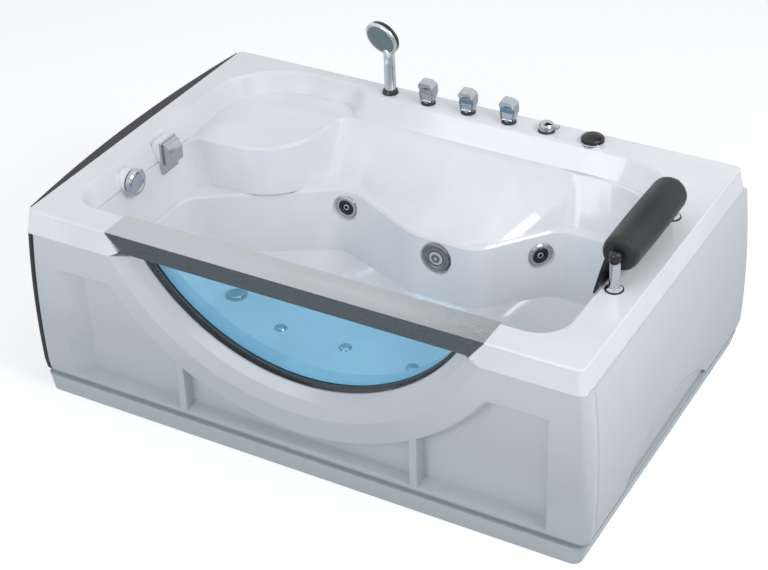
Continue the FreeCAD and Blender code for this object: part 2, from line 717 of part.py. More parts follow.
shell_block = join("shell_block", rim, basin_outside, bay_outside, *flats)
shell_lined = cut("shell_lined", shell_block, basin_inside)
shell_bossed = join("shell_bossed", shell_lined, *bosses)
shell_seated = cut("shell_seated", shell_bossed, bay_inside, *flat_cuts)
shell_trimmed = cut("shell_trimmed", shell_seated, trim_seat, face_seat, lip_opening)
tub_shell = node(cut("tub_shell", shell_trimmed, *bores, *deck_holes, *floor_holes), "tub_shell")

# ---------------------------------------------------------------- window, seal and trim
GLASS_TOP = "deck_height - shell_wall - 1"
PANE_FRONT = f"{WINDOW_BACK} - pane_thick"
window_glass = node(
    below("window_glass", disc("pane_disc", "pane_radius", PANE_FRONT, "pane_thick"), GLASS_TOP), "window_glass"
)
seal_ring = disc("seal_ring", "pane_radius + seal_width / 2", f"{PANE_FRONT} - seal_lip", "pane_thick + seal_lip")
seal_mouth = disc("seal_mouth", "pane_radius - seal_width / 2", f"{PANE_FRONT} - seal_lip - 1", "pane_thick + seal_lip + 2")
seal_groove = disc("seal_groove", "pane_radius", PANE_FRONT, "pane_thick + 1")
window_seal = node(
    below("window_seal", cut("seal_arc", seal_ring, seal_mouth, seal_groove), GLASS_TOP), "window_seal"
)

TRIM_PROFILE = [
    (f"-({HALF_WIDTH})", "deck_height"),
    (TRIM_BACK, "deck_height"),
    (TRIM_BACK, "deck_height - trim_sheet"),
    (f"-({HALF_WIDTH} - trim_sheet)", "deck_height - trim_sheet"),
    (f"-({HALF_WIDTH} - trim_sheet)", "deck_height - trim_drop"),
    (f"-({HALF_WIDTH})", "deck_height - trim_drop"),
]
trim_sheet_form = padded("trim_form", "YZ_Plane", TRIM_PROFILE, "trim_length", midplane=True)
trim_plan = padded("trim_plan", "XZ_Plane", TRIM_FACE, "rim_width", midplane=True)
steel_trim = doc.addObject("Part::Common", "steel_trim")
steel_trim.Base = trim_sheet_form
steel_trim.Tool = trim_plan
node(steel_trim, "steel_trim")

# ---------------------------------------------------------------- skirts and wall seal
# Each skirt is a moulded skin: a full block less the same block made smaller by the skin's
# thickness. The ends follow the bowed profile of the whole body.

SKIRT_TOP = size("deck_height - lip_height")
SKIRT_WALL = size("skirt_wall")
SKIRT_CORNER = 24
WIDEST_SHARE = 0.5
TUCK_HEIGHT = 92
RIM_FRONT = -size(HALF_WIDTH)
SKIRT_FACE = RIM_FRONT - size("skirt_stand")
SKIRT_BACK = SKIRT_FACE + size("skirt_depth")
LONG = 4000


def bowed_edges(side, reach, top):
    """One end's profile from the lip to the floor: bowed out, then drawn in again at the foot."""
    lip = size("lip_flare") + 5
    upper = Part.Arc(
        Vector(side * (reach - size("skirt_bulge") + lip), 0, top),
        Vector(side * reach, 0, SKIRT_TOP * WIDEST_SHARE),
        Vector(side * (reach - 3), 0, TUCK_HEIGHT),
    ).toShape()
    foot = Vector(side * (reach - size("plinth_tuck")), 0, 0)
    return [upper, Part.makeLine(upper.Vertexes[-1].Point, foot)]


def envelope(inset, front, back, left_gap=0.0):
    """The whole body between its two bowed ends, from Y = front to Y = back, with round front corners."""
    reach = size("rim_length / 2 + skirt_bulge") - inset
    top = SKIRT_TOP - inset
    right = bowed_edges(1, reach, top)
    left = bowed_edges(-1, reach - left_gap, top)
    lid = Part.makeLine(left[0].Vertexes[0].Point, right[0].Vertexes[0].Point)
    floor = Part.makeLine(right[1].Vertexes[-1].Point, left[1].Vertexes[-1].Point)
    profile = Part.Face(Part.Wire([lid, *right, floor, *reversed(left)]))
    profile.translate(Vector(0, front, 0))
    block = profile.extrude(Vector(0, back - front, 0))
    corners = [
        edge for edge in block.Edges
        if edge.BoundBox.YMax < front + 0.01 and edge.BoundBox.ZLength > 1
    ]
    return block.makeFillet(SKIRT_CORNER - inset, corners)


def layer(low, high, reach=LONG):
    """Everything between two levels."""
    return Part.makeBox(reach, reach, high - low, Vector(-reach / 2, -reach / 2, low))


def about_window(radius_front, radius_back, front, depth):
    """A cone about the window's centre, running back from Y = front."""
    centre = Vector(0, front, size(ARCH_HEIGHT))
    if abs(radius_front - radius_back) < 1e-6:
        return Part.makeCylinder(radius_front, depth, centre, Vector(0, 1, 0))
    return Part.makeCone(radius_front, radius_back, depth, centre, Vector(0, 1, 0))


def drafted_pocket(left, right, foot, top, face, slopes):
    """A recess whose bottom is smaller than its mouth by a slope on each side."""
    depth = size("panel_depth")
    left_slope, right_slope, foot_slope, top_slope = slopes
    mouth = [(left, foot), (right, foot), (right, top), (left, top)]
    bottom = [
        (left + left_slope, foot + foot_slope),
        (right - right_slope, foot + foot_slope),
        (right - right_slope, top - top_slope),
        (left + left_slope, top - top_slope),
    ]
    wires = []
    for corners, y in ((mouth, face), (bottom, face + depth)):
        spots = [Vector(x, y, z) for x, z in corners]
        wires.append(Part.makePolygon(spots + spots[:1]))
    return Part.makeLoft(wires, True, True)


def front_block(inset):
    """The front skirt as a full block, with every face moved inward by the inset."""
    gap = size("wall_seal_edge")
    face = SKIRT_FACE + inset
    plinth_top = size("plinth_height") - inset
    groove_top = size("plinth_height + groove_height") + inset
    upper = envelope(inset, face, SKIRT_BACK, gap).common(layer(groove_top, 1000))
    behind_groove = envelope(inset, face + size("groove_depth"), SKIRT_BACK, gap)
    plinth = envelope(inset, RIM_FRONT - size("plinth_stand") + inset, SKIRT_BACK, gap)
    block = upper.fuse([behind_groove.common(layer(plinth_top, groove_top)), plinth.common(layer(0, plinth_top))])

    end = size("rim_length / 2 - panel_end") + inset
    foot = size("panel_foot") - inset
    top = size("panel_top") + inset
    rib_near = size("rib_place - rib_width / 2") + inset
    rib_far = size("rib_place + rib_width / 2") - inset
    slope = size("panel_slope")
    draft = size("panel_draft")
    band = size("band_radius") - inset
    arch = about_window(band, band + draft, face - 1, size("panel_depth") + 2)
    steep = 3
    pockets = [
        drafted_pocket(-end, -rib_far, foot, top, face, (slope, steep, draft, steep)),
        drafted_pocket(-rib_near, rib_near, foot, top, face, (steep, steep, draft, steep)),
        drafted_pocket(rib_far, end, foot, top, face, (steep, slope / 3, draft, steep)),
    ]
    for pocket in pockets:
        block = block.cut(pocket.cut(arch))

    crease = size("cove_crease")
    seal_front = RIM_FRONT + size("window_inset - pane_thick - seal_lip")
    mouth = size("pane_radius + seal_width / 2 + hole_slack") + inset
    outer_cove = about_window(size("cove_radius") + inset, size("cove_mid") + inset, face - 1, crease + 1)
    inner_cove = about_window(size("cove_mid") + inset, mouth, face + crease, SKIRT_BACK - face - crease)
    well = about_window(mouth, mouth, SKIRT_BACK - 1, seal_front - SKIRT_BACK + 1)
    return block.cut(outer_cove.fuse([inner_cove, well]))


def end_block(inset):
    """The end skirt as a full block, with every face moved inward by the inset."""
    start = SKIRT_BACK + 0.4
    back = -RIM_FRONT + size("lip_flare") - 2
    inner = size("rim_length / 2") - 12
    plinth_top = size("plinth_height") - inset
    groove_top = size("plinth_height + groove_height") + inset
    depth = size("wave_depth")
    behind_inner = Part.makeBox(LONG, LONG, LONG, Vector(inner, start + inset, -1))
    in_length = Part.makeBox(LONG, back - inset - SKIRT_FACE, LONG, Vector(inner, SKIRT_FACE, -1))
    full = envelope(inset, SKIRT_FACE, back + 100).common(behind_inner).common(in_length)
    deeper = envelope(inset + size("groove_depth"), SKIRT_FACE, back + 100).common(behind_inner).common(in_length)
    block = full.cut(layer(plinth_top, groove_top)).fuse(deeper.common(layer(plinth_top, groove_top)))
    radius = size("wave_radius")
    middle = Vector(inner, -20, size("plinth_height + groove_height") + 142 - radius)
    scoop = Part.makeCone(radius - 3 * depth + inset, radius + 6 + inset, 120, middle, Vector(1, 0, 0))
    behind_scoop = envelope(inset + depth, SKIRT_FACE, back + 100)
    return block.cut(scoop.cut(behind_scoop).common(layer(size("panel_foot") - inset, 1000)))


def skin(name, block):
    """A moulded skin, open at the back and underneath."""
    made = doc.addObject("Part::Feature", name)
    made.Shape = block(0).cut(block(SKIRT_WALL))
    return node(made, name)


front_skirt = skin("front_skirt", front_block)
end_skirt = skin("end_skirt", end_block)

# The rubber seal that closes the joint to the wall: along the foot end's rim, and down the skirt.
SEAL_TOP = size("deck_height") - 2
SEAL_FOOT = size("deck_height - rim_round - 4")


def wall_seal_form():
    """A strip that is widest halfway along the rim, and a strip down the front skirt's end."""
    x = -size(HALF_LENGTH)
    y = size(HALF_WIDTH) - size("rim_corner")
    bow = Part.Arc(
        Vector(x - 2, y, SEAL_FOOT), Vector(x - size("skirt_bulge"), 0, SEAL_FOOT), Vector(x - 2, -y, SEAL_FOOT)
    ).toShape()
    corners = [Vector(x - 2, -y, SEAL_FOOT), Vector(x, -y, SEAL_FOOT), Vector(x, y, SEAL_FOOT), Vector(x - 2, y, SEAL_FOOT)]
    outline = Part.Wire([bow, *Part.makePolygon(corners).Edges])
    strip = Part.Face(outline).extrude(Vector(0, 0, SEAL_TOP - SEAL_FOOT))
    beside = envelope(0, SKIRT_FACE, SKIRT_BACK).cut(envelope(0, SKIRT_FACE, SKIRT_BACK, size("wall_seal_edge")))
    left = Part.makeBox(LONG, LONG, LONG, Vector(-LONG, -LONG / 2, -1))
    upright = beside.common(left).common(layer(size("plinth_height + groove_height"), 1000))
    return Part.makeCompound([strip, max(upright.Solids, key=lambda solid: solid.Volume)])


wall_seal = doc.addObject("Part::Feature", "wall_seal")
wall_seal.Shape = wall_seal_form()
node(wall_seal, "wall_seal")

# ---------------------------------------------------------------- frame, boards and feet
BOARD_TOP = "rail_floor + rail_size + board_thick"
RAIL_TOP = "rail_floor + rail_size"
NUT_SLACK = "0.3"


def tube_box(name, long, deep, high, along):
    """A length of square tube, open at both ends."""
    outer = box(name + "_outer", long, deep, high)
    reach = {"x": (f"{long} + 2", f"{deep} - 2 * tube_wall", f"{high} - 2 * tube_wall"),
             "y": (f"{long} - 2 * tube_wall", f"{deep} + 2", f"{high} - 2 * tube_wall"),
             "z": (f"{long} - 2 * tube_wall", f"{deep} - 2 * tube_wall", f"{high} + 2")}[along]
    start = [("-1" if axis == along else "tube_wall") for axis in "xyz"]
    return cut(name, outer, stand(box(name + "_inner", *reach), *start))


FOOT_PLACES = [
    ("-740", "-(rail_front - rail_size / 2)"),
    ("0", "-(rail_front - rail_size / 2)"),
    ("740", "-(rail_front - rail_size / 2)"),
    ("-740", "rail_back - rail_size / 2"),
    ("120", "rail_back - rail_size / 2"),
    ("740", "rail_back - rail_size / 2"),
]


def long_rail(name, y):
    rail = tube_box(name, "2 * rail_end", "rail_size", "rail_size", "x")
    placed = stand(rail, "-rail_end", y, "rail_floor")
    holes = []
    for index, (foot_x, foot_y) in enumerate(FOOT_PLACES):
        if (foot_y.startswith("-")) == (y.startswith("-")):
            hole = rod(f"{name}_hole_{index}", f"foot_rod + {NUT_SLACK}", "rail_size + 20")
            holes.append(stand(hole, foot_x, foot_y, "rail_floor - 10"))
    return cut(name + "_drilled", placed, *holes)


long_rails = group(
    "long_rails", [long_rail("front_rail", "-rail_front"), long_rail("back_rail", "rail_back - rail_size")]
)
CROSS_LENGTH = "(rail_front + rail_back - 2 * rail_size)"
CROSS_PLACES = ["-rail_end", "cross_left - rail_size", "cross_right", "rail_end - rail_size"]
cross_rails = group(
    "cross_rails",
    [
        stand(
            tube_box(f"cross_rail_{index}", "rail_size", CROSS_LENGTH, "rail_size", "y"),
            x, "-(rail_front - rail_size)", "rail_floor",
        )
        for index, x in enumerate(CROSS_PLACES)
    ],
)
POST_LENGTH = f"deck_height - shell_wall - ({RAIL_TOP})"
POST_PLACES = [
    ("-rail_end", "-rail_front"),
    ("rail_end - rail_size", "-rail_front"),
    ("-rail_end", "rail_back - rail_size"),
    ("185", "rail_back - rail_size"),
    ("rail_end - rail_size", "rail_back - rail_size"),
]
frame_posts = group(
    "frame_posts",
    [
        stand(tube_box(f"post_{index}", "rail_size", "rail_size", POST_LENGTH, "z"), x, y, RAIL_TOP)
        for index, (x, y) in enumerate(POST_PLACES)
    ],
)


def hex_nut(name, flats_across, height, hole):
    """A six-sided nut standing on its own XY plane."""
    prism = doc.addObject("Part::Prism", name + "_prism")
    prism.Polygon = 6
    bind(prism, Circumradius=f"{flats_across} / sqrt(3)", Height=height)
    return cut(name, prism, stand(rod(name + "_hole", hole, f"{height} + 2"), z="-1"))


levelling_feet = []
foot_nuts = []
for index, (x, y) in enumerate(FOOT_PLACES):
    foot = turned(f"foot_{index}", [
        ("0", "0"), ("foot_pad", "0"), ("foot_pad", "foot_pad_high / 2"), ("foot_rod + 5", "foot_pad_high"),
        ("foot_rod - 0.05", "foot_pad_high"), ("foot_rod - 0.05", f"{RAIL_TOP} + 16"), ("0", f"{RAIL_TOP} + 16"),
    ])
    levelling_feet.append(stand(foot, x, y))
    for side, level in (("under", "rail_floor - nut_high"), ("over", RAIL_TOP)):
        nut = hex_nut(f"nut_{side}_{index}", "nut_flats", "nut_high", "foot_rod")
        foot_nuts.append(stand(nut, x, y, level))
group("levelling_feet", levelling_feet)
group("foot_nuts", foot_nuts)

base_board = box("board", "1140", "380", "board_thick")
stand(base_board, "-570", "-400", RAIL_TOP)
board_holes = [
    stand(rod(f"board_hole_{i}", "21", "board_thick + 20"), floor_jet_x(i), "floor_jet_line", f"{RAIL_TOP} - 10")
    for i in range(3)
]
board_holes.append(
    stand(rod("board_drain_hole", "drain_flange + 3", "board_thick + 20"), "drain_place_x", "drain_place_y", f"{RAIL_TOP} - 10")
)
node(cut("base_board", base_board, *board_holes), "base_board")

# ---------------------------------------------------------------- jets and lamp
JETS = ((JET_1, INTO_BASIN_FROM_BACK), (JET_2, INTO_BASIN_SLANTED))


def jet_housing(name, place, turn):
    """A jet's body, its flange on the wall, with a socket for the turning face and two ports behind."""
    body = turned(name, [
        ("0", "-jet_length"), ("jet_barrel", "-jet_length"), ("jet_barrel", "0"), ("jet_flange", "0"),
        ("jet_flange", "2.5"), ("jet_flange - 4", "6"), ("jet_face", "6"), ("jet_face", "-20"),
        ("12", "-20"), ("12", "-(jet_length - 4)"), ("0", "-(jet_length - 4)"),
    ])
    return stand(body, *place, turn)


def ring_nut(name, place, hole, outer, wall, turn):
    """A round back nut that draws a fitting against the wall."""
    nut = turned(name, [
        (hole, f"-({wall} + 10)"), (outer, f"-({wall} + 10)"), (outer, f"-({wall})"), (hole, f"-({wall})"),
    ])
    return stand(nut, *place, turn)


def jet_ring(name, place, turn):
    """The black face that turns in the jet's body and holds the nozzle's ball."""
    disc_form = turned(name + "_disc", [
        ("0", "-19.8"), ("jet_face - running", "-19.8"), ("jet_face - running", "5"), ("jet_face - 2.5", "7"),
        ("16", "7"), ("13.4", "2"), ("0", "2"),
    ])
    socket = doc.addObject("Part::Sphere", name + "_socket")
    bind(socket, Radius="jet_ball + running")
    stand(socket, z="-4")
    throat = stand(rod(name + "_throat", "8", "20"), z="-21")
    return stand(cut(name, disc_form, socket, throat), *place, turn)


def jet_ball(name, place, turn):
    """The chrome ball nozzle: it swivels in the ring about its centre."""
    ball = doc.addObject("Part::Sphere", name + "_ball")
    bind(ball, Radius="jet_ball")
    stand(ball, z="-4")
    front = stand(box(name + "_front", "60", "60", "20"), "-30", "-30", "5")
    bore = stand(rod(name + "_bore", "5.5", "60"), z="-30")
    return stand(cut(name, ball, front, bore), *place, turn)


group("jet_housings", [jet_housing(f"jet_body_{i}", place, turn) for i, (place, turn) in enumerate(JETS)])
back_nuts = [
    ring_nut(f"jet_nut_{i}", place, "jet_barrel + 0.05", "jet_flange + 4", "shell_wall", turn)
    for i, (place, turn) in enumerate(JETS)
]
back_nuts.append(
    ring_nut("lamp_nut", LAMP, "lamp_body + 0.05", "lamp_ring + 2", "shell_wall", INTO_BASIN_FROM_BACK)
)
group("back_nuts", back_nuts)
for index, (place, turn) in enumerate(JETS, start=1):
    node(jet_ring(f"jet_ring_{index}", place, turn), f"jet_ring_{index}")
    node(jet_ball(f"jet_nozzle_{index}", place, turn), f"jet_nozzle_{index}")

lamp_bezel = turned("lamp_bezel", [
    ("lamp_glass + 0.3", "0"), ("lamp_ring", "0"), ("lamp_ring", "3"), ("lamp_ring - 5", "8"),
    ("lamp_glass + 4", "9"), ("lamp_glass + 0.3", "6"),
])
node(stand(lamp_bezel, *LAMP, INTO_BASIN_FROM_BACK), "lamp_bezel")
lamp_lens = turned("lamp_lens", [
    ("0", "0"), ("lamp_glass", "0"), ("lamp_glass", "6"), ("lamp_glass - 7", "9"), ("lamp_glass - 17", "11"), ("0", "12"),
])
node(stand(lamp_lens, *LAMP, INTO_BASIN_FROM_BACK), "lamp_lens")
lamp_body = turned("lamp_body", [
    ("0", "-36"), ("lamp_body - 8", "-36"), ("lamp_body", "-26"), ("lamp_body", "0"), ("lamp_glass - 2", "0"),
    ("lamp_glass - 2", "-14"), ("0", "-14"),
])
node(stand(lamp_body, *LAMP, INTO_BASIN_FROM_BACK), "lamp_body")

# ---------------------------------------------------------------- floor fittings
floor_jets = []
floor_nuts = []
for index in range(3):
    cap = turned(f"floor_jet_{index}", [
        ("5", "-44"), ("9", "-44"), ("9", "-22"), ("11", "-22"), ("11", "0"), ("floor_jet_cap", "0"),
        ("floor_jet_cap - 3", "4"), ("12", "6.5"), ("0", "6.5"), ("0", "3"), ("5", "3"),
    ])
    floor_jets.append(stand(cap, floor_jet_x(index), "floor_jet_line", "basin_floor"))
    nut = turned(f"floor_nut_{index}", [("11.05", "-22"), ("20", "-22"), ("20", "-shell_wall"), ("11.05", "-shell_wall")])
    floor_nuts.append(stand(nut, floor_jet_x(index), "floor_jet_line", "basin_floor"))
group("floor_jets", floor_jets)
group("floor_jet_nuts", floor_nuts)

DRAIN = ("drain_place_x", "drain_place_y", "basin_floor")
drain_form = turned("drain_form", [
    ("0", "-100"), ("drain_bore", "-100"), ("drain_bore", "-44"), ("drain_bore + 3", "-44"), ("drain_bore + 3", "0"),
    ("drain_flange", "0"), ("drain_flange", "1.5"), ("drain_bore", "3"), ("drain_bore - 3", "0.5"),
    ("drain_bore - 3", "-96"), ("0", "-96"),
])
stand(drain_form, *DRAIN)
waste_way = rod("waste_way", "waste_radius + 0.05", "60")
stand(waste_way, "drain_place_x", "drain_place_y", "waste_height", BACKWARD)
overflow_way = rod("overflow_way", "overflow_pipe + 0.05", "60")
OVERFLOW_LEVEL = "68"
stand(overflow_way, "drain_place_x", "drain_place_y", OVERFLOW_LEVEL, Rotation(Vector(0, 0, 1), Vector(-1, 0, 0)))
stem_guide = stand(rod("stem_guide", "3.1", "4"), "drain_place_x", "drain_place_y", "basin_floor - 40")
cross = []
for index, angle in enumerate((0, 90)):
    arm = stand(box(f"drain_arm_{index}", "2 * drain_bore - 5.5", "4", "4"), "-(drain_bore - 2.75)", "-2", "-40")
    cross.append(arm)
hub = stand(rod("drain_hub", "6", "4"), z="-40")
cross_form = stand(cut("drain_cross", join("drain_cross_whole", cross[0], hub), stand(rod("drain_hub_hole", "3.1", "10"), z="-43")), *DRAIN)
drain_body = join("drain_body", cut("drain_shell", drain_form, waste_way, overflow_way), cross_form)
node(drain_body, "drain_body")

drain_plug = turned("drain_plug", [
    ("0", "-52"), ("3", "-52"), ("3", "-2"), ("drain_bore - 5", "-2"), ("drain_bore - 3.5", "0.15"),
    ("drain_bore - 1", "2.24"), ("drain_bore - 1", "5"), ("drain_bore - 6", "8"), ("0", "9"),
])
node(stand(drain_plug, *DRAIN), "drain_plug")

DRAIN_X = size("drain_place_x")
DRAIN_Y = size("drain_place_y")
WASTE_Z = size("waste_height")
WASTE_END = size("rim_width / 2 - 2")
waste_run = straight("waste_run", (DRAIN_X, DRAIN_Y + 20, WASTE_Z), (DRAIN_X, WASTE_END - 60, WASTE_Z), size("waste_radius") - 1)
waste_collar = straight("waste_collar", (DRAIN_X, WASTE_END - 64, WASTE_Z), (DRAIN_X, WASTE_END - 60, WASTE_Z), size("waste_radius") + 4)
waste_spigot = straight("waste_spigot", (DRAIN_X, WASTE_END - 60, WASTE_Z), (DRAIN_X, WASTE_END, WASTE_Z), size("waste_radius"))
node(join("waste_pipe", waste_run, waste_collar, waste_spigot), "waste_pipe")

# ---------------------------------------------------------------- overflow and filler
OVERFLOW_AT = [size(part) for part in OVERFLOW]
overflow_body = turned("overflow_form", [
    ("5.6", "-64"), ("overflow_barrel", "-64"), ("overflow_barrel", "0"), ("overflow_knob - 5", "0"),
    ("overflow_knob - 5", "4"), ("overflow_barrel - 3", "4"), ("overflow_barrel - 3", "-60"), ("5.6", "-60"),
])
stand(overflow_body, *OVERFLOW, INTO_BASIN_FROM_FOOT)
overflow_port = rod("overflow_port", "overflow_pipe - 2", "30")
stand(overflow_port, f"{OVERFLOW_X} - 44", "overflow_place", "overflow_height - 40")
node(cut("overflow_body", overflow_body, overflow_port), "overflow_body")
overflow_knob = turned("overflow_knob", [
    ("0", "-68"), ("5.5", "-68"), ("5.5", "6"), ("overflow_knob - 10", "6"), ("overflow_knob - 2", "5"),
    ("overflow_knob", "8"), ("overflow_knob", "19"), ("overflow_knob - 4", "23"), ("overflow_knob - 12", "24"),
    ("overflow_knob - 16", "21"), ("0", "20"),
])
stand(overflow_knob, *OVERFLOW, INTO_BASIN_FROM_FOOT)
node(overflow_knob, "overflow_knob")
OVERFLOW_TOP = OVERFLOW_AT[2] - size("overflow_barrel") - 0.2
OVERFLOW_PIPE_X = OVERFLOW_AT[0] - 44
overflow_pipe = pipe(
    "overflow_pipe",
    [
        (OVERFLOW_PIPE_X, OVERFLOW_AT[1], OVERFLOW_TOP),
        (OVERFLOW_PIPE_X, OVERFLOW_AT[1], 500),
        (OVERFLOW_PIPE_X + 26, OVERFLOW_AT[1], 430),
        (OVERFLOW_PIPE_X + 26, OVERFLOW_AT[1], 240),
        (OVERFLOW_PIPE_X + 26, DRAIN_Y, 150),
        (OVERFLOW_PIPE_X + 26, DRAIN_Y, float(OVERFLOW_LEVEL)),
        (DRAIN_X - size("drain_bore") - 2, DRAIN_Y, float(OVERFLOW_LEVEL)),
    ],
    size("overflow_pipe"), 26,
)
node(overflow_pipe, "overflow_pipe")

SPOUT_AT = [size(part) for part in SPOUT]
spout_plate = box("spout_plate", "8", "spout_width", "spout_tall")
stand(spout_plate, OVERFLOW_X, "spout_place - spout_width / 2", "spout_height - spout_tall / 2")
hood = padded("spout_hood", "XZ_Plane", [
    ("0", "-20"), ("spout_reach - 8", "-26"), ("spout_reach", "-18"), ("spout_reach", "24"),
    ("spout_reach - 10", "44"), ("0", "spout_tall / 2 - 3"),
], "spout_width - 14", midplane=True)
stand(hood, f"{OVERFLOW_X} + 7.9", "spout_place", "spout_height")
spout_mouth = stand(
    box("spout_mouth", "spout_reach - 12", "spout_width - 26", "20"),
    f"{OVERFLOW_X} + 9", "spout_place - spout_width / 2 + 13", "spout_height - 32",
)
spout_stem = rod("spout_stem_rod", "spout_stem", "36")
stand(spout_stem, f"{OVERFLOW_X} - 36", "spout_place", "spout_height", INTO_BASIN_FROM_FOOT)
filler_spout = cut("filler_spout", join("spout_whole", spout_plate, hood, spout_stem), spout_mouth)
node(filler_spout, "filler_spout")

# ---------------------------------------------------------------- suction, pump and water pipes
suction_form = turned("suction_form", [
    ("0", "0"), ("suction_cover", "0"), ("suction_cover", "3"), ("suction_cover - 8", "11"), ("0", "14"),
])
slots = [
    stand(box(f"suction_slot_{index}", "5", "60", "20"), f"{offset}", "-30", "-1")
    for index, offset in enumerate((-34.5, -20.5, 15.5, 29.5))
]
node(stand(cut("suction_cover", suction_form, *slots), *SUCTION, INTO_BASIN_FROM_HEAD), "suction_cover")
suction_body = turned("suction_body", [
    ("suction_pipe + 0.05", "-40"), ("suction_pipe + 4.9", "-40"), ("suction_pipe + 4.9", "-16"),
    ("suction_cover", "-16"), ("suction_cover", "-shell_wall"), ("suction_pipe + 4.9", "-shell_wall"),
    ("suction_pipe + 4.9", "0"), ("suction_pipe - 2", "0"), ("suction_pipe - 2", "-22"), ("suction_pipe + 0.05", "-22"),
])
node(stand(suction_body, *SUCTION, INTO_BASIN_FROM_HEAD), "suction_body")

PUMP_Y = size("pump_line")
PUMP_Z = size("pump_height")
PUMP_X = size("pump_face")
HEADWARD = Rotation(Vector(0, 0, 1), Vector(1, 0, 0))
SUCTION_AT = Vector(*[size(part) for part in SUCTION])
SUCTION_OUT = Vector(0.8, 0, -0.6)
suction_start = SUCTION_AT + SUCTION_OUT * 23
suction_knee = SUCTION_AT + SUCTION_OUT * 95
suction_pipe = pipe(
    "suction_pipe",
    [
        tuple(suction_start),
        tuple(suction_knee),
        (suction_knee.x, PUMP_Y, PUMP_Z),
        (PUMP_X + 34, PUMP_Y, PUMP_Z),
    ],
    size("suction_pipe"), 28,
)
node(suction_pipe, "suction_pipe")

pump_board = stand(box("pump_board", "515", "154", "board_thick"), "285", "345", RAIL_TOP)
blower_board = stand(box("blower_board", "400", "189", "board_thick"), "-800", "310", RAIL_TOP)
group("machine_boards", [pump_board, blower_board])

wet_end = turned("wet_end", [
    ("shaft_radius + running", "-90"), ("pump_case - 18", "-90"), ("pump_case", "-76"), ("pump_case", "-12"),
    ("pump_case - 12", "0"), ("suction_pipe + 8", "0"), ("suction_pipe + 8", "34"), ("suction_pipe + 0.05", "34"),
    ("suction_pipe + 0.05", "-14"), ("impeller_radius + 4", "-14"), ("impeller_radius + 4", "-60"),
    ("shaft_radius + running", "-60"),
])
stand(wet_end, "pump_face", "pump_line", "pump_height", HEADWARD)
outlet = stand(rod("pump_outlet", "water_pipe + 6", "27"), "pump_face - 37", "pump_line", "pump_height + 62")
outlet_way = stand(rod("pump_outlet_way", "water_pipe + 0.05", "90"), "pump_face - 37", "pump_line", "pump_height + 48")
foot = stand(box("wet_foot", "40", "110", "120"), "pump_face - 60", "pump_line - 55", BOARD_TOP)
foot_way = stand(rod("wet_foot_way", "pump_case - 2", "120"), "pump_face - 95", "pump_line", "pump_height", HEADWARD)
pump_wet_end = cut("pump_wet_end", join("wet_whole", wet_end, outlet, cut("wet_foot_cut", foot, foot_way)), outlet_way)
node(pump_wet_end, "pump_wet_end")

motor = turned("motor", [
    ("0", "-(90 + motor_length)"), ("motor_radius - 14", "-(90 + motor_length)"), ("motor_radius", "-(80 + motor_length)"),
    ("motor_radius", "-(42 + motor_length)"), ("motor_radius - 6", "-(42 + motor_length)"), ("motor_radius - 6", "-120"),
    ("motor_radius", "-116"), ("motor_radius", "-90.2"), ("shaft_radius + running", "-90.2"),
    ("shaft_radius + running", "-250"), ("0", "-250"),
])
stand(motor, "pump_face", "pump_line", "pump_height", HEADWARD)
FIN_COUNT = 20
fins = []
for index in range(FIN_COUNT):
    fin = box(f"fin_{index}", "7", "2.4", "motor_length - 80")
    angle = 360 / FIN_COUNT * index
    fin.Placement = Placement(Vector(0, 0, 0), Rotation(Vector(0, 0, 1), angle))
    around = math.radians(angle)
    reach = size("motor_radius") - 7
    fin.Placement.Base = Vector(reach * math.cos(around), reach * math.sin(around), -size("motor_length") - 42)
    fins.append(fin)
fin_ring = stand(join("fin_ring", *fins), "pump_face", "pump_line", "pump_height", HEADWARD)
feet = [
    stand(box(f"motor_foot_{index}", "30", "90", "60"), f"pump_face - {offset}", "pump_line - 45", BOARD_TOP)
    for index, offset in enumerate((150, 260))
]
motor_way = stand(rod("motor_way", "motor_radius - 3", "300"), "pump_face - 350", "pump_line", "pump_height", HEADWARD)
node(join("pump_motor", motor, fin_ring, cut("motor_feet", join("motor_feet_whole", *feet), motor_way)), "pump_motor")

impeller_disc = turned("impeller_disc", [
    ("0", "-240"), ("shaft_radius", "-240"), ("shaft_radius", "-55"), ("impeller_radius", "-55"),
    ("impeller_radius", "-51"), ("14", "-48"), ("9", "-22"), ("0", "-20"),
])
VANES = 6
vanes = []
for index in range(VANES):
    vane = box(f"vane_{index}", "impeller_radius - 14", "3", "24")
    vane.Placement = Placement(Vector(0, 0, 0), Rotation(Vector(0, 0, 1), 360 / VANES * index))
    around = math.radians(360 / VANES * index)
    vane.Placement.Base = Vector(10 * math.cos(around), 10 * math.sin(around), -52)
    vanes.append(vane)
impeller = join("pump_impeller", impeller_disc, *vanes)
node(stand(impeller, "pump_face", "pump_line", "pump_height", HEADWARD), "pump_impeller")


# The jets' water and air pipes run behind the basin; each jet has a port for both in its back.
PIPE_Y = size(HALF_WIDTH) - 172
PORT_DEPTH = size("jet_length") + 0.2


def jet_port(place, turn, drop):
    """A point at a jet's back face, and the way out of it."""
    out = turn.multVec(Vector(0, 0, -1))
    back = Vector(*[size(part) for part in place]) + out * PORT_DEPTH
    return back + Vector(0, 0, drop), out


def port_branches(radius, drop):
    """Short branches from the jets' backs to a pipe behind them."""
    runs = []
    for place, turn in JETS:
        start, out = jet_port(place, turn, drop)
        reach = (PIPE_Y - start.y) / out.y
        runs.append((tuple(start), tuple(start + out * reach), radius))
    return runs

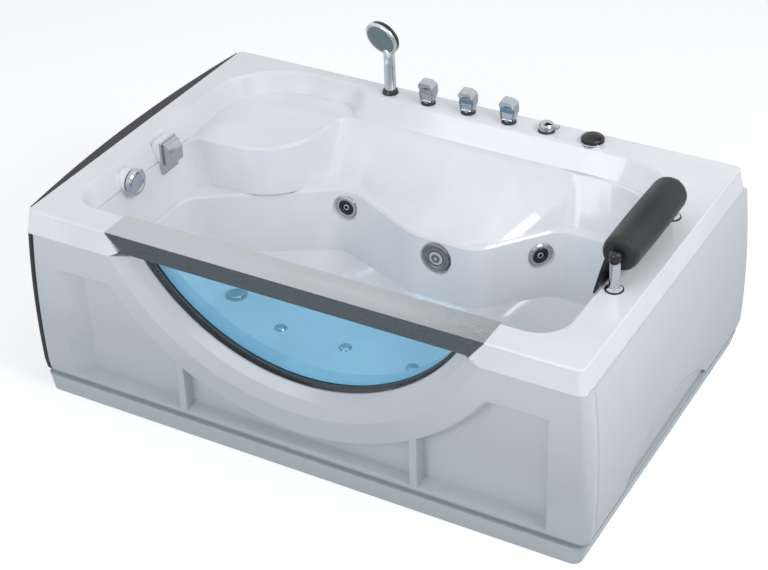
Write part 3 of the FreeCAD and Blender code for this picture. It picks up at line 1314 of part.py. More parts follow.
WATER_DROP = -12
AIR_DROP = 16
OUTLET = (PUMP_X - 37, PUMP_Y, PUMP_Z + 90)
water_start, water_out = jet_port(*JETS[0], WATER_DROP)
right_start, right_out = jet_port(*JETS[1], WATER_DROP)
right_join = right_start + right_out * ((PIPE_Y - right_start.y) / right_out.y)
water_manifold = pipe(
    "water_manifold",
    [
        OUTLET,
        (OUTLET[0], PUMP_Y, right_start.z),
        (OUTLET[0] - 60, PIPE_Y, right_start.z),
        (right_join.x - 60, PIPE_Y, right_start.z),
        (water_start.x + 120, PIPE_Y, water_start.z),
        (water_start.x - 30, PIPE_Y, water_start.z),
    ],
    size("water_pipe"), 24, port_branches(10, WATER_DROP),
)
node(water_manifold, "water_manifold")
air_left, air_out = jet_port(*JETS[0], AIR_DROP)
air_right, air_right_out = jet_port(*JETS[1], AIR_DROP)
AIR_LINE = size(TAP_Y) - 57
AIR_KNOB_X = size("air_knob_place")
air_join = air_right + air_right_out * ((AIR_LINE - air_right.y) / air_right_out.y)
air_manifold = pipe(
    "air_manifold",
    [
        (AIR_KNOB_X, size(TAP_Y), size("deck_height") - 62),
        (AIR_KNOB_X, size(TAP_Y), 480),
        (AIR_KNOB_X, AIR_LINE, 420),
        (AIR_KNOB_X, AIR_LINE, air_right.z),
        (air_left.x, AIR_LINE, air_right.z),
        (air_left.x, AIR_LINE - 60, air_left.z),
        (air_left.x, air_left.y, air_left.z),
    ],
    size("air_pipe"), 12, [(tuple(air_right), tuple(air_join), 7)],
)
node(air_manifold, "air_manifold")

# ---------------------------------------------------------------- blower, control box and air hose
blower = turned("blower", [
    ("0", "0"), ("blower_radius - 6", "0"), ("blower_radius", "6"), ("blower_radius", "62"),
    ("blower_radius - 16", "72"), ("blower_radius - 22", "blower_high - 10"), ("blower_radius - 34", "blower_high"),
    ("0", "blower_high"),
])
stand(blower, "blower_place", "blower_line", BOARD_TOP)
blower_outlet = rod("blower_outlet", "blower_pipe + 8", "blower_radius + 36")
stand(blower_outlet, "blower_place", "blower_line", f"{BOARD_TOP} + 34", HEADWARD)
blower_way = rod("blower_way", "blower_pipe + 0.05", "60")
stand(blower_way, "blower_place + blower_radius", "blower_line", f"{BOARD_TOP} + 34", HEADWARD)
node(cut("air_blower", join("blower_whole", blower, blower_outlet), blower_way), "air_blower")
BLOWER_OUT_X = size("blower_place + blower_radius") + 12
BLOWER_Z = size(f"{BOARD_TOP} + 34")
JET_LINE = size("floor_jet_line")
FIRST_JET = size("floor_jet_first")
LAST_JET = size("floor_jet_first + 2 * floor_jet_pitch")
UNDER_RAILS = 44
floor_branches = [
    ((size(floor_jet_x(index)), JET_LINE, UNDER_RAILS), (size(floor_jet_x(index)), JET_LINE, 66), 9)
    for index in range(3)
]
blower_pipe = pipe(
    "blower_pipe",
    [
        (LAST_JET + 14, JET_LINE, UNDER_RAILS),
        (FIRST_JET - 66, JET_LINE, UNDER_RAILS),
        (FIRST_JET - 66, PUMP_Y, UNDER_RAILS),
        (FIRST_JET - 66, PUMP_Y, BLOWER_Z),
        (BLOWER_OUT_X, PUMP_Y, BLOWER_Z),
    ],
    size("blower_pipe"), 20, floor_branches,
)
node(blower_pipe, "blower_pipe")
control_box = box("control_case", "box_long", "box_deep", "box_high")
stand(control_box, "200 - box_long / 2", "rail_back - rail_size - box_deep", "box_foot")
node(control_box, "control_box")
button_hose = pipe(
    "air_tube",
    [
        (size("button_place"), size(TAP_Y), size("deck_height") - 52),
        (size("button_place"), size(TAP_Y), 425),
        (180, size("rail_back - rail_size - box_deep / 2"), 395),
        (180, size("rail_back - rail_size - box_deep / 2"), size("box_foot + box_high")),
    ],
    3.5, 14,
)
node(button_hose, "air_tube")

# ---------------------------------------------------------------- deck fittings
def deck_base(name, x, radius, shank, tail):
    """A black ring on the deck with its threaded shank below."""
    base = turned(name, [
        ("0", f"-({tail})"), (shank, f"-({tail})"), (shank, "0"), (radius, "0"), (radius, "3"), (f"{radius} - 3", "6"),
        ("0", "6"),
    ])
    return stand(base, x, TAP_Y, "deck_height")


VALVE_TOP = "20"
VALVE_TALL = "44"
tap_bases = []
valves = []
for index, name in enumerate(TAP_NAMES):
    tap_bases.append(deck_base(f"{name}_base", tap_x(index), "tap_neck + 9", "12", "24"))
    block = stand(box(f"{name}_valve", "32", "32", VALVE_TALL), f"{tap_x(index)} - 16", f"{TAP_Y} - 16",
                  f"deck_height - 24.2 - {VALVE_TALL}")
    valves.append(block)
tap_bases.append(deck_base("air_knob_base", "air_knob_place", "air_knob + 3", "12", "62"))
group("deck_bases", tap_bases)
VALVE_Z = size(f"deck_height - 24.2 - {VALVE_TALL} / 2")
TAP_LINE = size(TAP_Y)
TAPS_X = [size(tap_x(index)) for index in range(3)]
group("tap_valves", valves)


INLET_RADIUS = 10.48
INLET_FOOT = VALVE_Z - 80
VALVE_FOOT = size(f"deck_height - 24.2 - {VALVE_TALL}")
supply = [
    straight("mixer_1", (TAPS_X[0] + 16, TAP_LINE, VALVE_Z), (TAPS_X[1] - 16, TAP_LINE, VALVE_Z), 8),
    straight("mixer_2", (TAPS_X[1] + 16, TAP_LINE, VALVE_Z), (TAPS_X[2] - 16, TAP_LINE, VALVE_Z), 8),
]
INLET_END = size(f"{HALF_WIDTH} - 4")
inlet_elbow = pipe(
    "inlet_elbow",
    [
        (TAPS_X[1], TAP_LINE, VALVE_FOOT),
        (TAPS_X[1], TAP_LINE, INLET_FOOT),
        (TAPS_X[1], INLET_END, INLET_FOOT),
    ],
    INLET_RADIUS - 1, 15,
)
for name, x in (("cold_inlet", TAPS_X[1]), ("hot_inlet", TAPS_X[2])):
    elbow = doc.addObject("Part::Feature", f"{name}_elbow")
    elbow.Shape = inlet_elbow.Shape.translated(Vector(x - TAPS_X[1], 0, 0))
    spigot = straight(f"{name}_spigot", (x, INLET_END - 28, INLET_FOOT), (x, INLET_END, INLET_FOOT), INLET_RADIUS)
    supply.append(join(name, elbow, spigot))
group("supply_pipes", supply)
FILLER_X = SPOUT_AT[0] - 36
filler_pipe = pipe(
    "filler_pipe",
    [
        (TAPS_X[0], TAP_LINE, VALVE_FOOT),
        (TAPS_X[0], TAP_LINE, 480),
        (TAPS_X[0] - 60, TAP_LINE - 24, 440),
        (FILLER_X - 22, TAP_LINE - 24, 440),
        (FILLER_X - 22, SPOUT_AT[1], 440),
        (FILLER_X - 22, SPOUT_AT[1], SPOUT_AT[2]),
        (FILLER_X, SPOUT_AT[1], SPOUT_AT[2]),
    ],
    size("filler_pipe"), 16,
)
node(filler_pipe, "filler_pipe")

HOOD_OUTLINE = [
    ("-14", "7"), ("15", "7"), ("19", "14"), ("12", "46"), ("24", "64"), ("26", "tap_tall - 8"), ("16", "tap_tall"),
    ("-4", "tap_tall - 2"), ("-16", "tap_tall - 16"), ("-20", "40"),
]


def tap_handle(name, x):
    """A lever shaped like a hood: a broad back plate that rolls forward over the top."""
    side = [(f"-({across})" if not across.startswith("-") else across[1:], up) for across, up in HOOD_OUTLINE]
    form = padded(f"{name}_lever", "YZ_Plane", side, "tap_width", midplane=True)
    face_width = "tap_width / 2"
    arch = padded(f"{name}_arch", "XZ_Plane", [
        ("-16", "6.5"), ("16", "6.5"), (face_width, "34"), (face_width, "tap_tall - 22"), ("tap_width / 4", "tap_tall + 1"),
        ("-tap_width / 4", "tap_tall + 1"), (f"-({face_width})", "tap_tall - 22"), (f"-({face_width})", "34"),
    ], "60", midplane=True)
    shaped = doc.addObject("Part::Common", f"{name}_shaped")
    shaped.Base = form
    shaped.Tool = arch
    hollow = padded(f"{name}_hollow", "YZ_Plane", [
        ("-13", "14"), ("-30", "14"), ("-30", "58"), ("-15", "50"),
    ], "tap_width - 12", midplane=True)
    skirt = turned(f"{name}_skirt", [("0", "6.3"), ("tap_neck + 4", "6.3"), ("tap_neck + 4", "12"), ("tap_neck", "16"), ("0", "16")])
    whole = join(f"{name}_whole", cut(f"{name}_cut", shaped, hollow), skirt)
    return node(stand(whole, x, TAP_Y, "deck_height"), name)


for index, name in enumerate(TAP_NAMES):
    tap_handle(f"{name}_handle", tap_x(index))

knob = turned("air_knob_form", [
    ("0", "6.3"), ("air_knob", "6.3"), ("air_knob", "20"), ("air_knob - 4", "26"), ("0", "28"),
])
lever = stand(box("air_knob_lever", "40", "14", "9"), "0", "-7", "14")
node(stand(join("air_regulator_knob", knob, lever), "air_knob_place", TAP_Y, "deck_height"), "air_regulator_knob")

button_housing = turned("button_housing", [
    ("0", "-52"), ("button_cap + 4", "-52"), ("button_cap + 4", "0"), ("button_ring", "0"), ("button_ring", "2"),
    ("button_ring - 2", "4"), ("button_cap + running", "4"), ("button_cap + running", "-44"), ("0", "-44"),
])
node(stand(button_housing, "button_place", TAP_Y, "deck_height"), "button_housing")
button_cap = turned("button_cap", [
    ("0", "-16"), ("button_cap", "-16"), ("button_cap", "9.5"), ("button_ring - 2", "9.5"), ("button_ring - 2", "12"),
    ("button_ring - 6", "16.5"), ("button_ring - 16", "20"), ("0", "21.5"),
])
node(stand(button_cap, "button_place", TAP_Y, "deck_height"), "button_cap")
button_bellows = turned("button_bellows", [
    ("0", "-44"), ("16", "-44"), ("20", "-40"), ("16", "-36"), ("20", "-32"), ("16", "-28"), ("20", "-24"),
    ("16", "-20"), ("16", "-16"), ("0", "-16"),
])
node(stand(button_bellows, "button_place", TAP_Y, "deck_height"), "button_bellows")

# ---------------------------------------------------------------- hand shower
holder = turned("shower_holder", [
    ("handle_radius + running + 0.3", "-48"), ("handle_radius + 3", "-48"), ("handle_radius + 3", "0"),
    ("holder_radius", "0"), ("holder_radius", "5"), ("holder_radius - 3", "12"), ("handle_radius + 0.4", "12"),
])
node(stand(holder, "holder_place", HOLDER_Y, "deck_height"), "shower_holder")
handle = turned("handset_handle", [
    ("0", "-40"), ("handle_radius - 3", "-40"), ("handle_radius", "-36"), ("handle_radius", "70"),
    ("handle_radius - 2", "handle_length"), ("handle_radius + 2", "handle_length + 30"), ("0", "handle_length + 40"),
])
head = turned("handset_head", [
    ("0", "-4"), ("head_radius - 8", "-4"), ("head_radius", "3"), ("head_radius", "head_thick - 10"),
    ("head_radius - 14", "head_thick"), ("16", "head_thick + 8"), ("0", "head_thick + 8"),
])
head.Placement = Placement(Vector(0, 0, 0), Rotation(Vector(0, 0, 1), Vector(0.16, 0.94, 0.29)))
bind(head, **{".Placement.Base.z": "handle_length + 54", ".Placement.Base.y": "-12", ".Placement.Base.x": "-20"})
face = turned("spray_disc", [
    ("0", "-7"), ("head_radius - 12", "-7"), ("head_radius - 9", "-4.1"), ("0", "-4.1"),
])
face.Placement = head.Placement
bind(face, **{".Placement.Base.z": "handle_length + 54", ".Placement.Base.y": "-12", ".Placement.Base.x": "-20"})
handset = cut("handset", join("handset_whole", handle, head), face)
node(stand(handset, "holder_place", HOLDER_Y, "deck_height"), "handset")
spray = doc.addObject("Part::Compound", "spray_plate")
spray.Links = [face]
node(stand(spray, "holder_place", HOLDER_Y, "deck_height"), "spray_face")

# ---------------------------------------------------------------- pillow
posts = []
for index, y in enumerate(("post_front", "post_back")):
    post = turned(f"pillow_post_{index}", [
        ("0", "-46"), ("4", "-46"), ("4", "0"), ("post_radius + 7", "0"), ("post_radius + 7", "4"),
        ("post_radius", "9"), ("post_radius", "bar_height + 14"), ("post_radius - 4", "bar_height + 18"),
        ("0", "bar_height + 18"),
    ])
    posts.append(stand(post, POST_X, y, "deck_height"))
bar = rod("pillow_bar", "bar_radius", "post_back - post_front")
stand(bar, POST_X, "post_front", "deck_height + bar_height", BACKWARD)
node(join("pillow_stand", bar, *posts), "pillow_stand")
roll_half = "(post_back - post_front) / 2 - pillow_gap"
pillow = turned("pillow", [
    ("bar_radius + running", f"-({roll_half})"), ("pillow_radius - 18", f"-({roll_half})"),
    ("pillow_radius - 5", f"-({roll_half} - 9)"), ("pillow_radius", f"-({roll_half} - 30)"),
    ("pillow_radius + 2", "0"), ("pillow_radius", f"{roll_half} - 30"), ("pillow_radius - 5", f"{roll_half} - 9"),
    ("pillow_radius - 18", roll_half), ("bar_radius + running", roll_half),
])
stand(pillow, POST_X, "(post_front + post_back) / 2", "deck_height + bar_height", BACKWARD)
node(pillow, "pillow")

# ---------------------------------------------------------------- checks and hand-out
doc.recompute()
for item in doc.Objects:
    if "Invalid" in item.State or "Error" in item.State:
        raise RuntimeError(f"{item.Label} did not build: {item.getStatusString()}")
os.makedirs("parts", exist_ok=True)
for piece in NODES:
    shape = piece.Shape
    if shape.isNull() or not shape.isValid():
        raise RuntimeError(f"{piece.Label} has no sound shape")
for piece in NODES:
    piece.Shape.exportStep(f"parts/{piece.Label}.step")
print(len(NODES), "pieces written")
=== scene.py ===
"""Looks of a jetted bathtub: materials, the soft headrest, small moulded details, light and camera."""
import math

import bmesh
import bpy
from bpy.props import FloatProperty, FloatVectorProperty, PointerProperty
from bpy.types import Operator, Panel, PropertyGroup
from mathutils import Matrix, Vector


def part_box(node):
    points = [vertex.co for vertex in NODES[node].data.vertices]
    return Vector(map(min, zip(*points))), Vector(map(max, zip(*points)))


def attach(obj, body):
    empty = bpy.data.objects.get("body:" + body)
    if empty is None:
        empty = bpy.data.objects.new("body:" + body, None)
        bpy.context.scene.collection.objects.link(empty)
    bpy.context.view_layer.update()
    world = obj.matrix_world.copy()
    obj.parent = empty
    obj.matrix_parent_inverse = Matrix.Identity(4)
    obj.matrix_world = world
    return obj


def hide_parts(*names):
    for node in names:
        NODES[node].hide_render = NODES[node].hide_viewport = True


bl_info = {
    "name": "Jetted Bathtub Looks",
    "version": (1, 0, 0),
    "blender": (4, 5, 0),
    "location": "View3D > Sidebar > Bathtub",
    "description": "Dresses the packed bathtub and sets up its light and camera",
    "category": "Object",
}

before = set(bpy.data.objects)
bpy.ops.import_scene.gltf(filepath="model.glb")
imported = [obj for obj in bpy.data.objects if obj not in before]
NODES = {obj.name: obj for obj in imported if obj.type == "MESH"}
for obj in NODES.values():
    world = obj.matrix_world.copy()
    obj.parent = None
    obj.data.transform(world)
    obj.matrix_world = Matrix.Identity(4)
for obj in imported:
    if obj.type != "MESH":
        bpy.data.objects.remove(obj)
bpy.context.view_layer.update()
MM = 0.001
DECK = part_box("tub_shell")[1][2]  # height of the deck's top


# ---------------------------------------------------------------- colour and nodes
def linear(code):
    """An sRGB hex colour as linear numbers, with full alpha."""
    channels = [int(code[i:i + 2], 16) / 255 for i in (1, 3, 5)]
    return (*[c / 12.92 if c <= 0.04045 else ((c + 0.055) / 1.055) ** 2.4 for c in channels], 1.0)


def opaque(colour):
    """A colour property's value with full alpha."""
    return (*colour[:3], 1.0)


def per_mm(size):
    """The scale that gives a pattern whose features are this many millimetres wide."""
    return 1 / (size * MM)


def per_band(size):
    """The Wave texture's scale for bands or rings that are this many millimetres apart."""
    return 2 * math.pi / (20 * size * MM)


def add_node(tree, kind, settings=None, **links):
    """A node with its settings, whose sockets take the given values or links."""
    made = tree.nodes.new(kind)
    for key, value in (settings or {}).items():
        setattr(made, key, value)
    for key, value in links.items():
        socket = made.inputs[int(key[1:]) if key[1:].isdigit() else key.replace("_", " ")]
        if isinstance(value, bpy.types.NodeSocket):
            tree.links.new(value, socket)
        else:
            socket.default_value = value
    return made


def new_material(name, colour, roughness, **sockets):
    """A material with one Principled shader; returns the material, its tree and the shader. The
    colour is an sRGB code or a colour property."""
    material = bpy.data.materials.new(name)
    material.use_nodes = True
    tree = material.node_tree
    shader = tree.nodes["Principled BSDF"]
    base = linear(colour) if isinstance(colour, str) else colour
    shader.inputs["Base Color"].default_value = opaque(base)
    shader.inputs["Roughness"].default_value = roughness
    for key, value in sockets.items():
        shader.inputs[key.replace("_", " ")].default_value = value
    return material, tree, shader


def place(tree):
    """Where a point is on the object, in metres."""
    return add_node(tree, "ShaderNodeTexCoord").outputs["Object"]


def drive(tree, shader, key, value):
    """Lets a pattern set one of the shader's sockets."""
    tree.links.new(value, shader.inputs[key])


def bump(tree, shader, height, strength, depth):
    """Raises the surface by a pattern; depth is in millimetres."""
    made = add_node(tree, "ShaderNodeBump", Height=height, Strength=strength, Distance=depth * MM)
    drive(tree, shader, "Normal", made.outputs["Normal"])
    return made


def ramp(tree, value, low, high, first, last):
    """Maps a pattern from one range to another."""
    return add_node(
        tree, "ShaderNodeMapRange", _0=value, From_Min=low, From_Max=high, To_Min=first, To_Max=last,
    ).outputs[0]


def two_tone(tree, factor, first, last):
    """A colour that runs from the first to the last by the factor."""
    made = add_node(tree, "ShaderNodeMix", {"data_type": "RGBA"}, _0=factor, _6=first, _7=last)
    return made.outputs[2]


def soft_edges(tree, radius, below=None):
    """Rounds sharp edges in the shading, as a moulded or polished edge is round."""
    links = {"Normal": below} if below else {}
    return add_node(tree, "ShaderNodeBevel", {"samples": 6}, Radius=radius * MM, **links).outputs["Normal"]


# ---------------------------------------------------------------- materials
def cast_acrylic(name, colour, shade):
    """Cast acrylic sheet, vacuum-formed and backed with fibreglass: a deep even gloss over a faint
    waviness, which is where the sheet stretched over the mould."""
    material, tree, shader = new_material(
        name, colour, 0.13, IOR=1.49, Coat_Weight=0.35, Coat_Roughness=0.04,
    )
    spot = place(tree)
    cloud = add_node(tree, "ShaderNodeTexNoise", Vector=spot, Scale=per_mm(160), Detail=2.0)
    drift = ramp(tree, cloud.outputs["Fac"], 0.3, 0.7, 0, 1)
    drive(tree, shader, "Base Color", two_tone(tree, drift, opaque(colour), opaque(shade)))
    waves = add_node(tree, "ShaderNodeTexNoise", Vector=spot, Scale=per_mm(22), Detail=1.0)
    raised = bump(tree, shader, waves.outputs["Fac"], 0.25, 0.25)
    tree.links.new(soft_edges(tree, 5), raised.inputs["Normal"])
    return material


def skirt_acrylic(name, top, foot):
    """The same acrylic sheet in a satin grey, with painted shade that makes it a little darker and greener
    towards the floor."""
    material, tree, shader = new_material(name, top, 0.24, IOR=1.49, Coat_Weight=0.25, Coat_Roughness=0.10)
    spot = place(tree)
    height = add_node(tree, "ShaderNodeSeparateXYZ", Vector=spot).outputs["Z"]
    drift = add_node(tree, "ShaderNodeTexNoise", Vector=spot, Scale=per_mm(240), Detail=2.0)
    level = add_node(
        tree, "ShaderNodeMath", {"operation": "MULTIPLY_ADD"}, _0=drift.outputs["Fac"], _1=0.14, _2=height,
    ).outputs[0]
    # Painted shade: the colour darkens from the top colour to the foot colour towards the floor, with a
    # faint random drift.
    tone = two_tone(tree, ramp(tree, level, 0.10, 0.66, 0, 1), opaque(foot), opaque(top))
    drive(tree, shader, "Base Color", tone)
    waves = add_node(tree, "ShaderNodeTexNoise", Vector=spot, Scale=per_mm(26), Detail=1.0)
    raised = bump(tree, shader, waves.outputs["Fac"], 0.3, 0.3)
    tree.links.new(soft_edges(tree, 6), raised.inputs["Normal"])
    return material


def tinted_pane(name, colour):
    """Blue tinted toughened glass, polished: clear, with the tint through its whole thickness."""
    material, tree, shader = new_material(name, colour, 0.03, IOR=1.49, Transmission_Weight=1.0)
    ripple = add_node(tree, "ShaderNodeTexNoise", Vector=place(tree), Scale=per_mm(60), Detail=0.0)
    bump(tree, shader, ripple.outputs["Fac"], 0.1, 0.2)
    return material


def clear_lens(name, centre):
    """Clear polycarbonate lens, moulded with round prism rings 14 mm apart that spread the lamp's light.
    Each ring has a painted highlight on its crown and painted shade in its groove."""
    material, tree, shader = new_material(name, "#e6eaec", 0.12, IOR=1.58, Transmission_Weight=0.2)
    about = add_node(tree, "ShaderNodeMapping", Vector=place(tree), Location=[-value for value in centre])
    rings = add_node(
        tree, "ShaderNodeTexWave", {"wave_type": "RINGS", "rings_direction": "SPHERICAL"},
        Vector=about.outputs[0], Scale=per_band(14), Phase_Offset=1.2,
    )
    # Painted highlight on each ring's crown and painted shade in its groove.
    tone = two_tone(tree, rings.outputs["Fac"], linear("#4b5154"), linear("#eceff1"))
    drive(tree, shader, "Base Color", tone)
    bump(tree, shader, rings.outputs["Fac"], 0.6, 1.2)
    return material


def brushed_steel(name, colour, along):
    """Stainless sheet, brushed along its length: fine scratches that stretch the highlight.
    The real grit marks are 0.1 mm wide and are drawn 0.8 mm wide so that they show."""
    material, tree, shader = new_material(name, colour, 0.33, Metallic=1.0, Anisotropic=0.5)
    stretch = add_node(tree, "ShaderNodeMapping", Vector=place(tree), Scale=along)
    lines = add_node(tree, "ShaderNodeTexNoise", Vector=stretch.outputs[0], Scale=per_mm(0.8), Detail=3.0)
    drive(tree, shader, "Roughness", ramp(tree, lines.outputs["Fac"], 0.3, 0.7, 0.2, 0.36))
    bump(tree, shader, lines.outputs["Fac"], 0.12, 0.05)
    return material


def chrome_plate(name, colour="#b9bec4", roughness=0.06):
    """Bright chrome over polished brass or ABS: a mirror with a faint haze of water marks. The default
    tint is darker than real chrome: painted shade, so that the white surroundings it reflects look grey.
    """
    material, tree, shader = new_material(name, colour, roughness, Metallic=1.0)
    marks = add_node(tree, "ShaderNodeTexNoise", Vector=place(tree), Scale=per_mm(7), Detail=4.0)
    haze = ramp(tree, marks.outputs["Fac"], 0.45, 0.75, roughness, roughness + 0.09)
    drive(tree, shader, "Roughness", haze)
    drive(tree, shader, "Normal", soft_edges(tree, 0.8))
    return material


def moulded_plastic(name, colour, roughness=0.42, grain=0.9, depth=0.05):
    """Injection-moulded plastic with the fine even grain of a spark-eroded mould."""
    material, tree, shader = new_material(name, colour, roughness, IOR=1.53)
    pits = add_node(tree, "ShaderNodeTexVoronoi", Vector=place(tree), Scale=per_mm(grain))
    bump(tree, shader, pits.outputs["Distance"], 0.3, depth)
    wear = add_node(tree, "ShaderNodeTexNoise", Vector=place(tree), Scale=per_mm(30), Detail=3.0)
    handled = ramp(tree, wear.outputs["Fac"], 0.3, 0.7, roughness - 0.06, roughness + 0.08)
    drive(tree, shader, "Roughness", handled)
    return material


def extruded_rubber(name, colour, deep="#121315"):
    """Extruded EPDM rubber: matt, with a dusty bloom in patches about 9 mm across."""
    material, tree, shader = new_material(
        name, colour, 0.62, IOR=1.52, Sheen_Weight=0.15, Sheen_Roughness=0.5,
    )
    bloom = add_node(tree, "ShaderNodeTexNoise", Vector=place(tree), Scale=per_mm(9), Detail=4.0)
    drive(tree, shader, "Base Color", two_tone(tree, bloom.outputs["Fac"], linear(deep), linear(colour)))
    bump(tree, shader, bloom.outputs["Fac"], 0.2, 0.15)
    return material


def galvanised_steel(name):
    """Hot-dip galvanised box section: grey zinc with its crystal spangle, about 12 mm across."""
    material, tree, shader = new_material(name, "#9aa0a5", 0.42, Metallic=0.9)
    crystals = add_node(tree, "ShaderNodeTexVoronoi", Vector=place(tree), Scale=per_mm(12))
    tone = two_tone(tree, crystals.outputs["Color"], linear("#858b90"), linear("#aeb4b8"))
    drive(tree, shader, "Base Color", tone)
    drive(tree, shader, "Roughness", ramp(tree, crystals.outputs["Color"], 0, 1, 0.34, 0.5))
    return material


def zinc_plate(name):
    """Zinc-plated and passivated fasteners: satin, with a faint yellow and blue cast."""
    material, tree, shader = new_material(name, "#b4b6b2", 0.34, Metallic=1.0)
    cast = add_node(tree, "ShaderNodeTexNoise", Vector=place(tree), Scale=per_mm(14), Detail=2.0)
    tone = two_tone(tree, cast.outputs["Fac"], linear("#a9afb3"), linear("#b9b39c"))
    drive(tree, shader, "Base Color", tone)
    return material


def birch_plywood(name):
    """Birch plywood, sanded and sealed: long pale grain on the faces, 1.5 mm veneers at the edge,
    every second one darker."""
    material, tree, shader = new_material(name, "#c09a68", 0.55, IOR=1.5)
    spot = place(tree)
    stretch = add_node(tree, "ShaderNodeMapping", Vector=spot, Scale=(0.08, 1.0, 1.0))
    grain = add_node(tree, "ShaderNodeTexNoise", Vector=stretch.outputs[0], Scale=per_mm(9), Detail=5.0)
    streak = ramp(tree, grain.outputs["Fac"], 0.35, 0.65, 0, 1)
    face = two_tone(tree, streak, linear("#b08657"), linear("#cfae7e"))
    plies = add_node(
        tree, "ShaderNodeTexWave", {"bands_direction": "Z"},
        Vector=spot, Scale=per_band(3.0), Distortion=0.4,
    )
    normal = add_node(tree, "ShaderNodeNewGeometry").outputs["Normal"]
    up = add_node(tree, "ShaderNodeSeparateXYZ", Vector=normal).outputs["Z"]
    edge = add_node(tree, "ShaderNodeMath", {"operation": "ABSOLUTE"}, _0=up).outputs[0]
    layers = two_tone(tree, plies.outputs["Fac"], linear("#8a6640"), linear("#c9a675"))
    drive(tree, shader, "Base Color", two_tone(tree, ramp(tree, edge, 0.4, 0.6, 0, 1), layers, face))
    bump(tree, shader, grain.outputs["Fac"], 0.2, 0.2)
    return material


def rigid_pvc(name, colour):
    """Extruded rigid PVC pipe: smooth, slightly waxy, with scuffs from handling."""
    material, tree, shader = new_material(name, colour, 0.34, IOR=1.54, Subsurface_Weight=0.05)
    scuff = add_node(
        tree, "ShaderNodeTexNoise", Vector=place(tree), Scale=per_mm(18), Detail=5.0, Roughness=0.7,
    )
    drive(tree, shader, "Roughness", ramp(tree, scuff.outputs["Fac"], 0.4, 0.7, 0.28, 0.46))
    tone = two_tone(tree, scuff.outputs["Fac"], linear("#d6d7d4"), linear(colour))
    drive(tree, shader, "Base Color", tone)
    return material


def turned_brass(name):
    """Brass turned on a lathe and left bare: warm, with a dull bloom of tarnish."""
    material, tree, shader = new_material(name, "#b08d4c", 0.3, Metallic=1.0)
    bloom = add_node(tree, "ShaderNodeTexNoise", Vector=place(tree), Scale=per_mm(10), Detail=4.0)
    tone = two_tone(tree, bloom.outputs["Fac"], linear("#8f6f38"), linear("#c6a25c"))
    drive(tree, shader, "Base Color", tone)
    drive(tree, shader, "Roughness", ramp(tree, bloom.outputs["Fac"], 0.3, 0.7, 0.22, 0.42))
    return material


def powder_coat(name, colour):
    """Powder-coated cast aluminium: an even paint film with orange peel about 2 mm across."""
    material, tree, shader = new_material(name, colour, 0.38, IOR=1.5)
    peel = add_node(tree, "ShaderNodeTexNoise", Vector=place(tree), Scale=per_mm(2.2), Detail=1.0)
    bump(tree, shader, peel.outputs["Fac"], 0.4, 0.12)
    return material


def skinned_foam(name, colour, worn):
    """Integral-skin polyurethane foam: black, satin, moulded with a leather grain 3 mm across."""
    material, tree, shader = new_material(
        name, colour, 0.5, IOR=1.5, Sheen_Weight=0.12, Sheen_Roughness=0.4,
    )
    spot = place(tree)
    cells = add_node(
        tree, "ShaderNodeTexVoronoi", {"feature": "DISTANCE_TO_EDGE"}, Vector=spot, Scale=per_mm(3.2),
    )
    fine = add_node(tree, "ShaderNodeTexNoise", Vector=spot, Scale=per_mm(1.2), Detail=2.0)
    grain = add_node(
        tree, "ShaderNodeMath", {"operation": "MULTIPLY_ADD"}, _0=fine.outputs["Fac"], _1=0.15,
        _2=ramp(tree, cells.outputs["Distance"], 0.0, 0.12, 0, 1),
    ).outputs[0]
    bump(tree, shader, grain, 0.5, 0.5)
    handled = add_node(tree, "ShaderNodeTexNoise", Vector=spot, Scale=per_mm(60), Detail=3.0)
    share = ramp(tree, handled.outputs["Fac"], 0.35, 0.7, 0, 1)
    drive(tree, shader, "Base Color", two_tone(tree, share, opaque(colour), opaque(worn)))
    drive(tree, shader, "Roughness", ramp(tree, handled.outputs["Fac"], 0.3, 0.7, 0.42, 0.58))
    return material


def coated_vinyl(name, colour):
    """Vinyl-coated cloth, black: a soft gloss over a fine pebble, duller where it folds. On the headrest's
    flap its black is partly painted shadow.
    """
    material, tree, shader = new_material(name, colour, 0.4, IOR=1.5, Sheen_Weight=0.08)
    spot = place(tree)
    pebble = add_node(tree, "ShaderNodeTexVoronoi", Vector=spot, Scale=per_mm(1.8))
    bump(tree, shader, pebble.outputs["Distance"], 0.35, 0.15)
    folds = add_node(tree, "ShaderNodeTexNoise", Vector=spot, Scale=per_mm(45), Detail=2.0)
    drive(tree, shader, "Roughness", ramp(tree, folds.outputs["Fac"], 0.3, 0.7, 0.32, 0.5))
    return material


# ---------------------------------------------------------------- shared mesh helpers
def dress(material, *names):
    """Gives CAD nodes their material."""
    for name in names:
        slots = NODES[name].data.materials
        slots.clear()
        slots.append(material)


def middle_of(name):
    """The middle of a CAD node's box."""
    return [(first + second) / 2 for first, second in zip(*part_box(name))]


def add_piece(name, mesh, material, body):
    """A new smooth object from a mesh, in the row frame, that rides on a body."""
    piece = bpy.data.objects.new(name, mesh)
    bpy.context.scene.collection.objects.link(piece)
    mesh.materials.append(material)
    mesh.polygons.foreach_set("use_smooth", [True] * len(mesh.polygons))
    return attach(piece, body)


def mesh_from(name, points, faces):
    """A mesh whose faces all point outwards."""
    mesh = bpy.data.meshes.new(name)
    mesh.from_pydata([tuple(point) for point in points], [], faces)
    shell = bmesh.new()
    shell.from_mesh(mesh)
    bmesh.ops.recalc_face_normals(shell, faces=shell.faces)
    shell.to_mesh(mesh)
    shell.free()
    return mesh


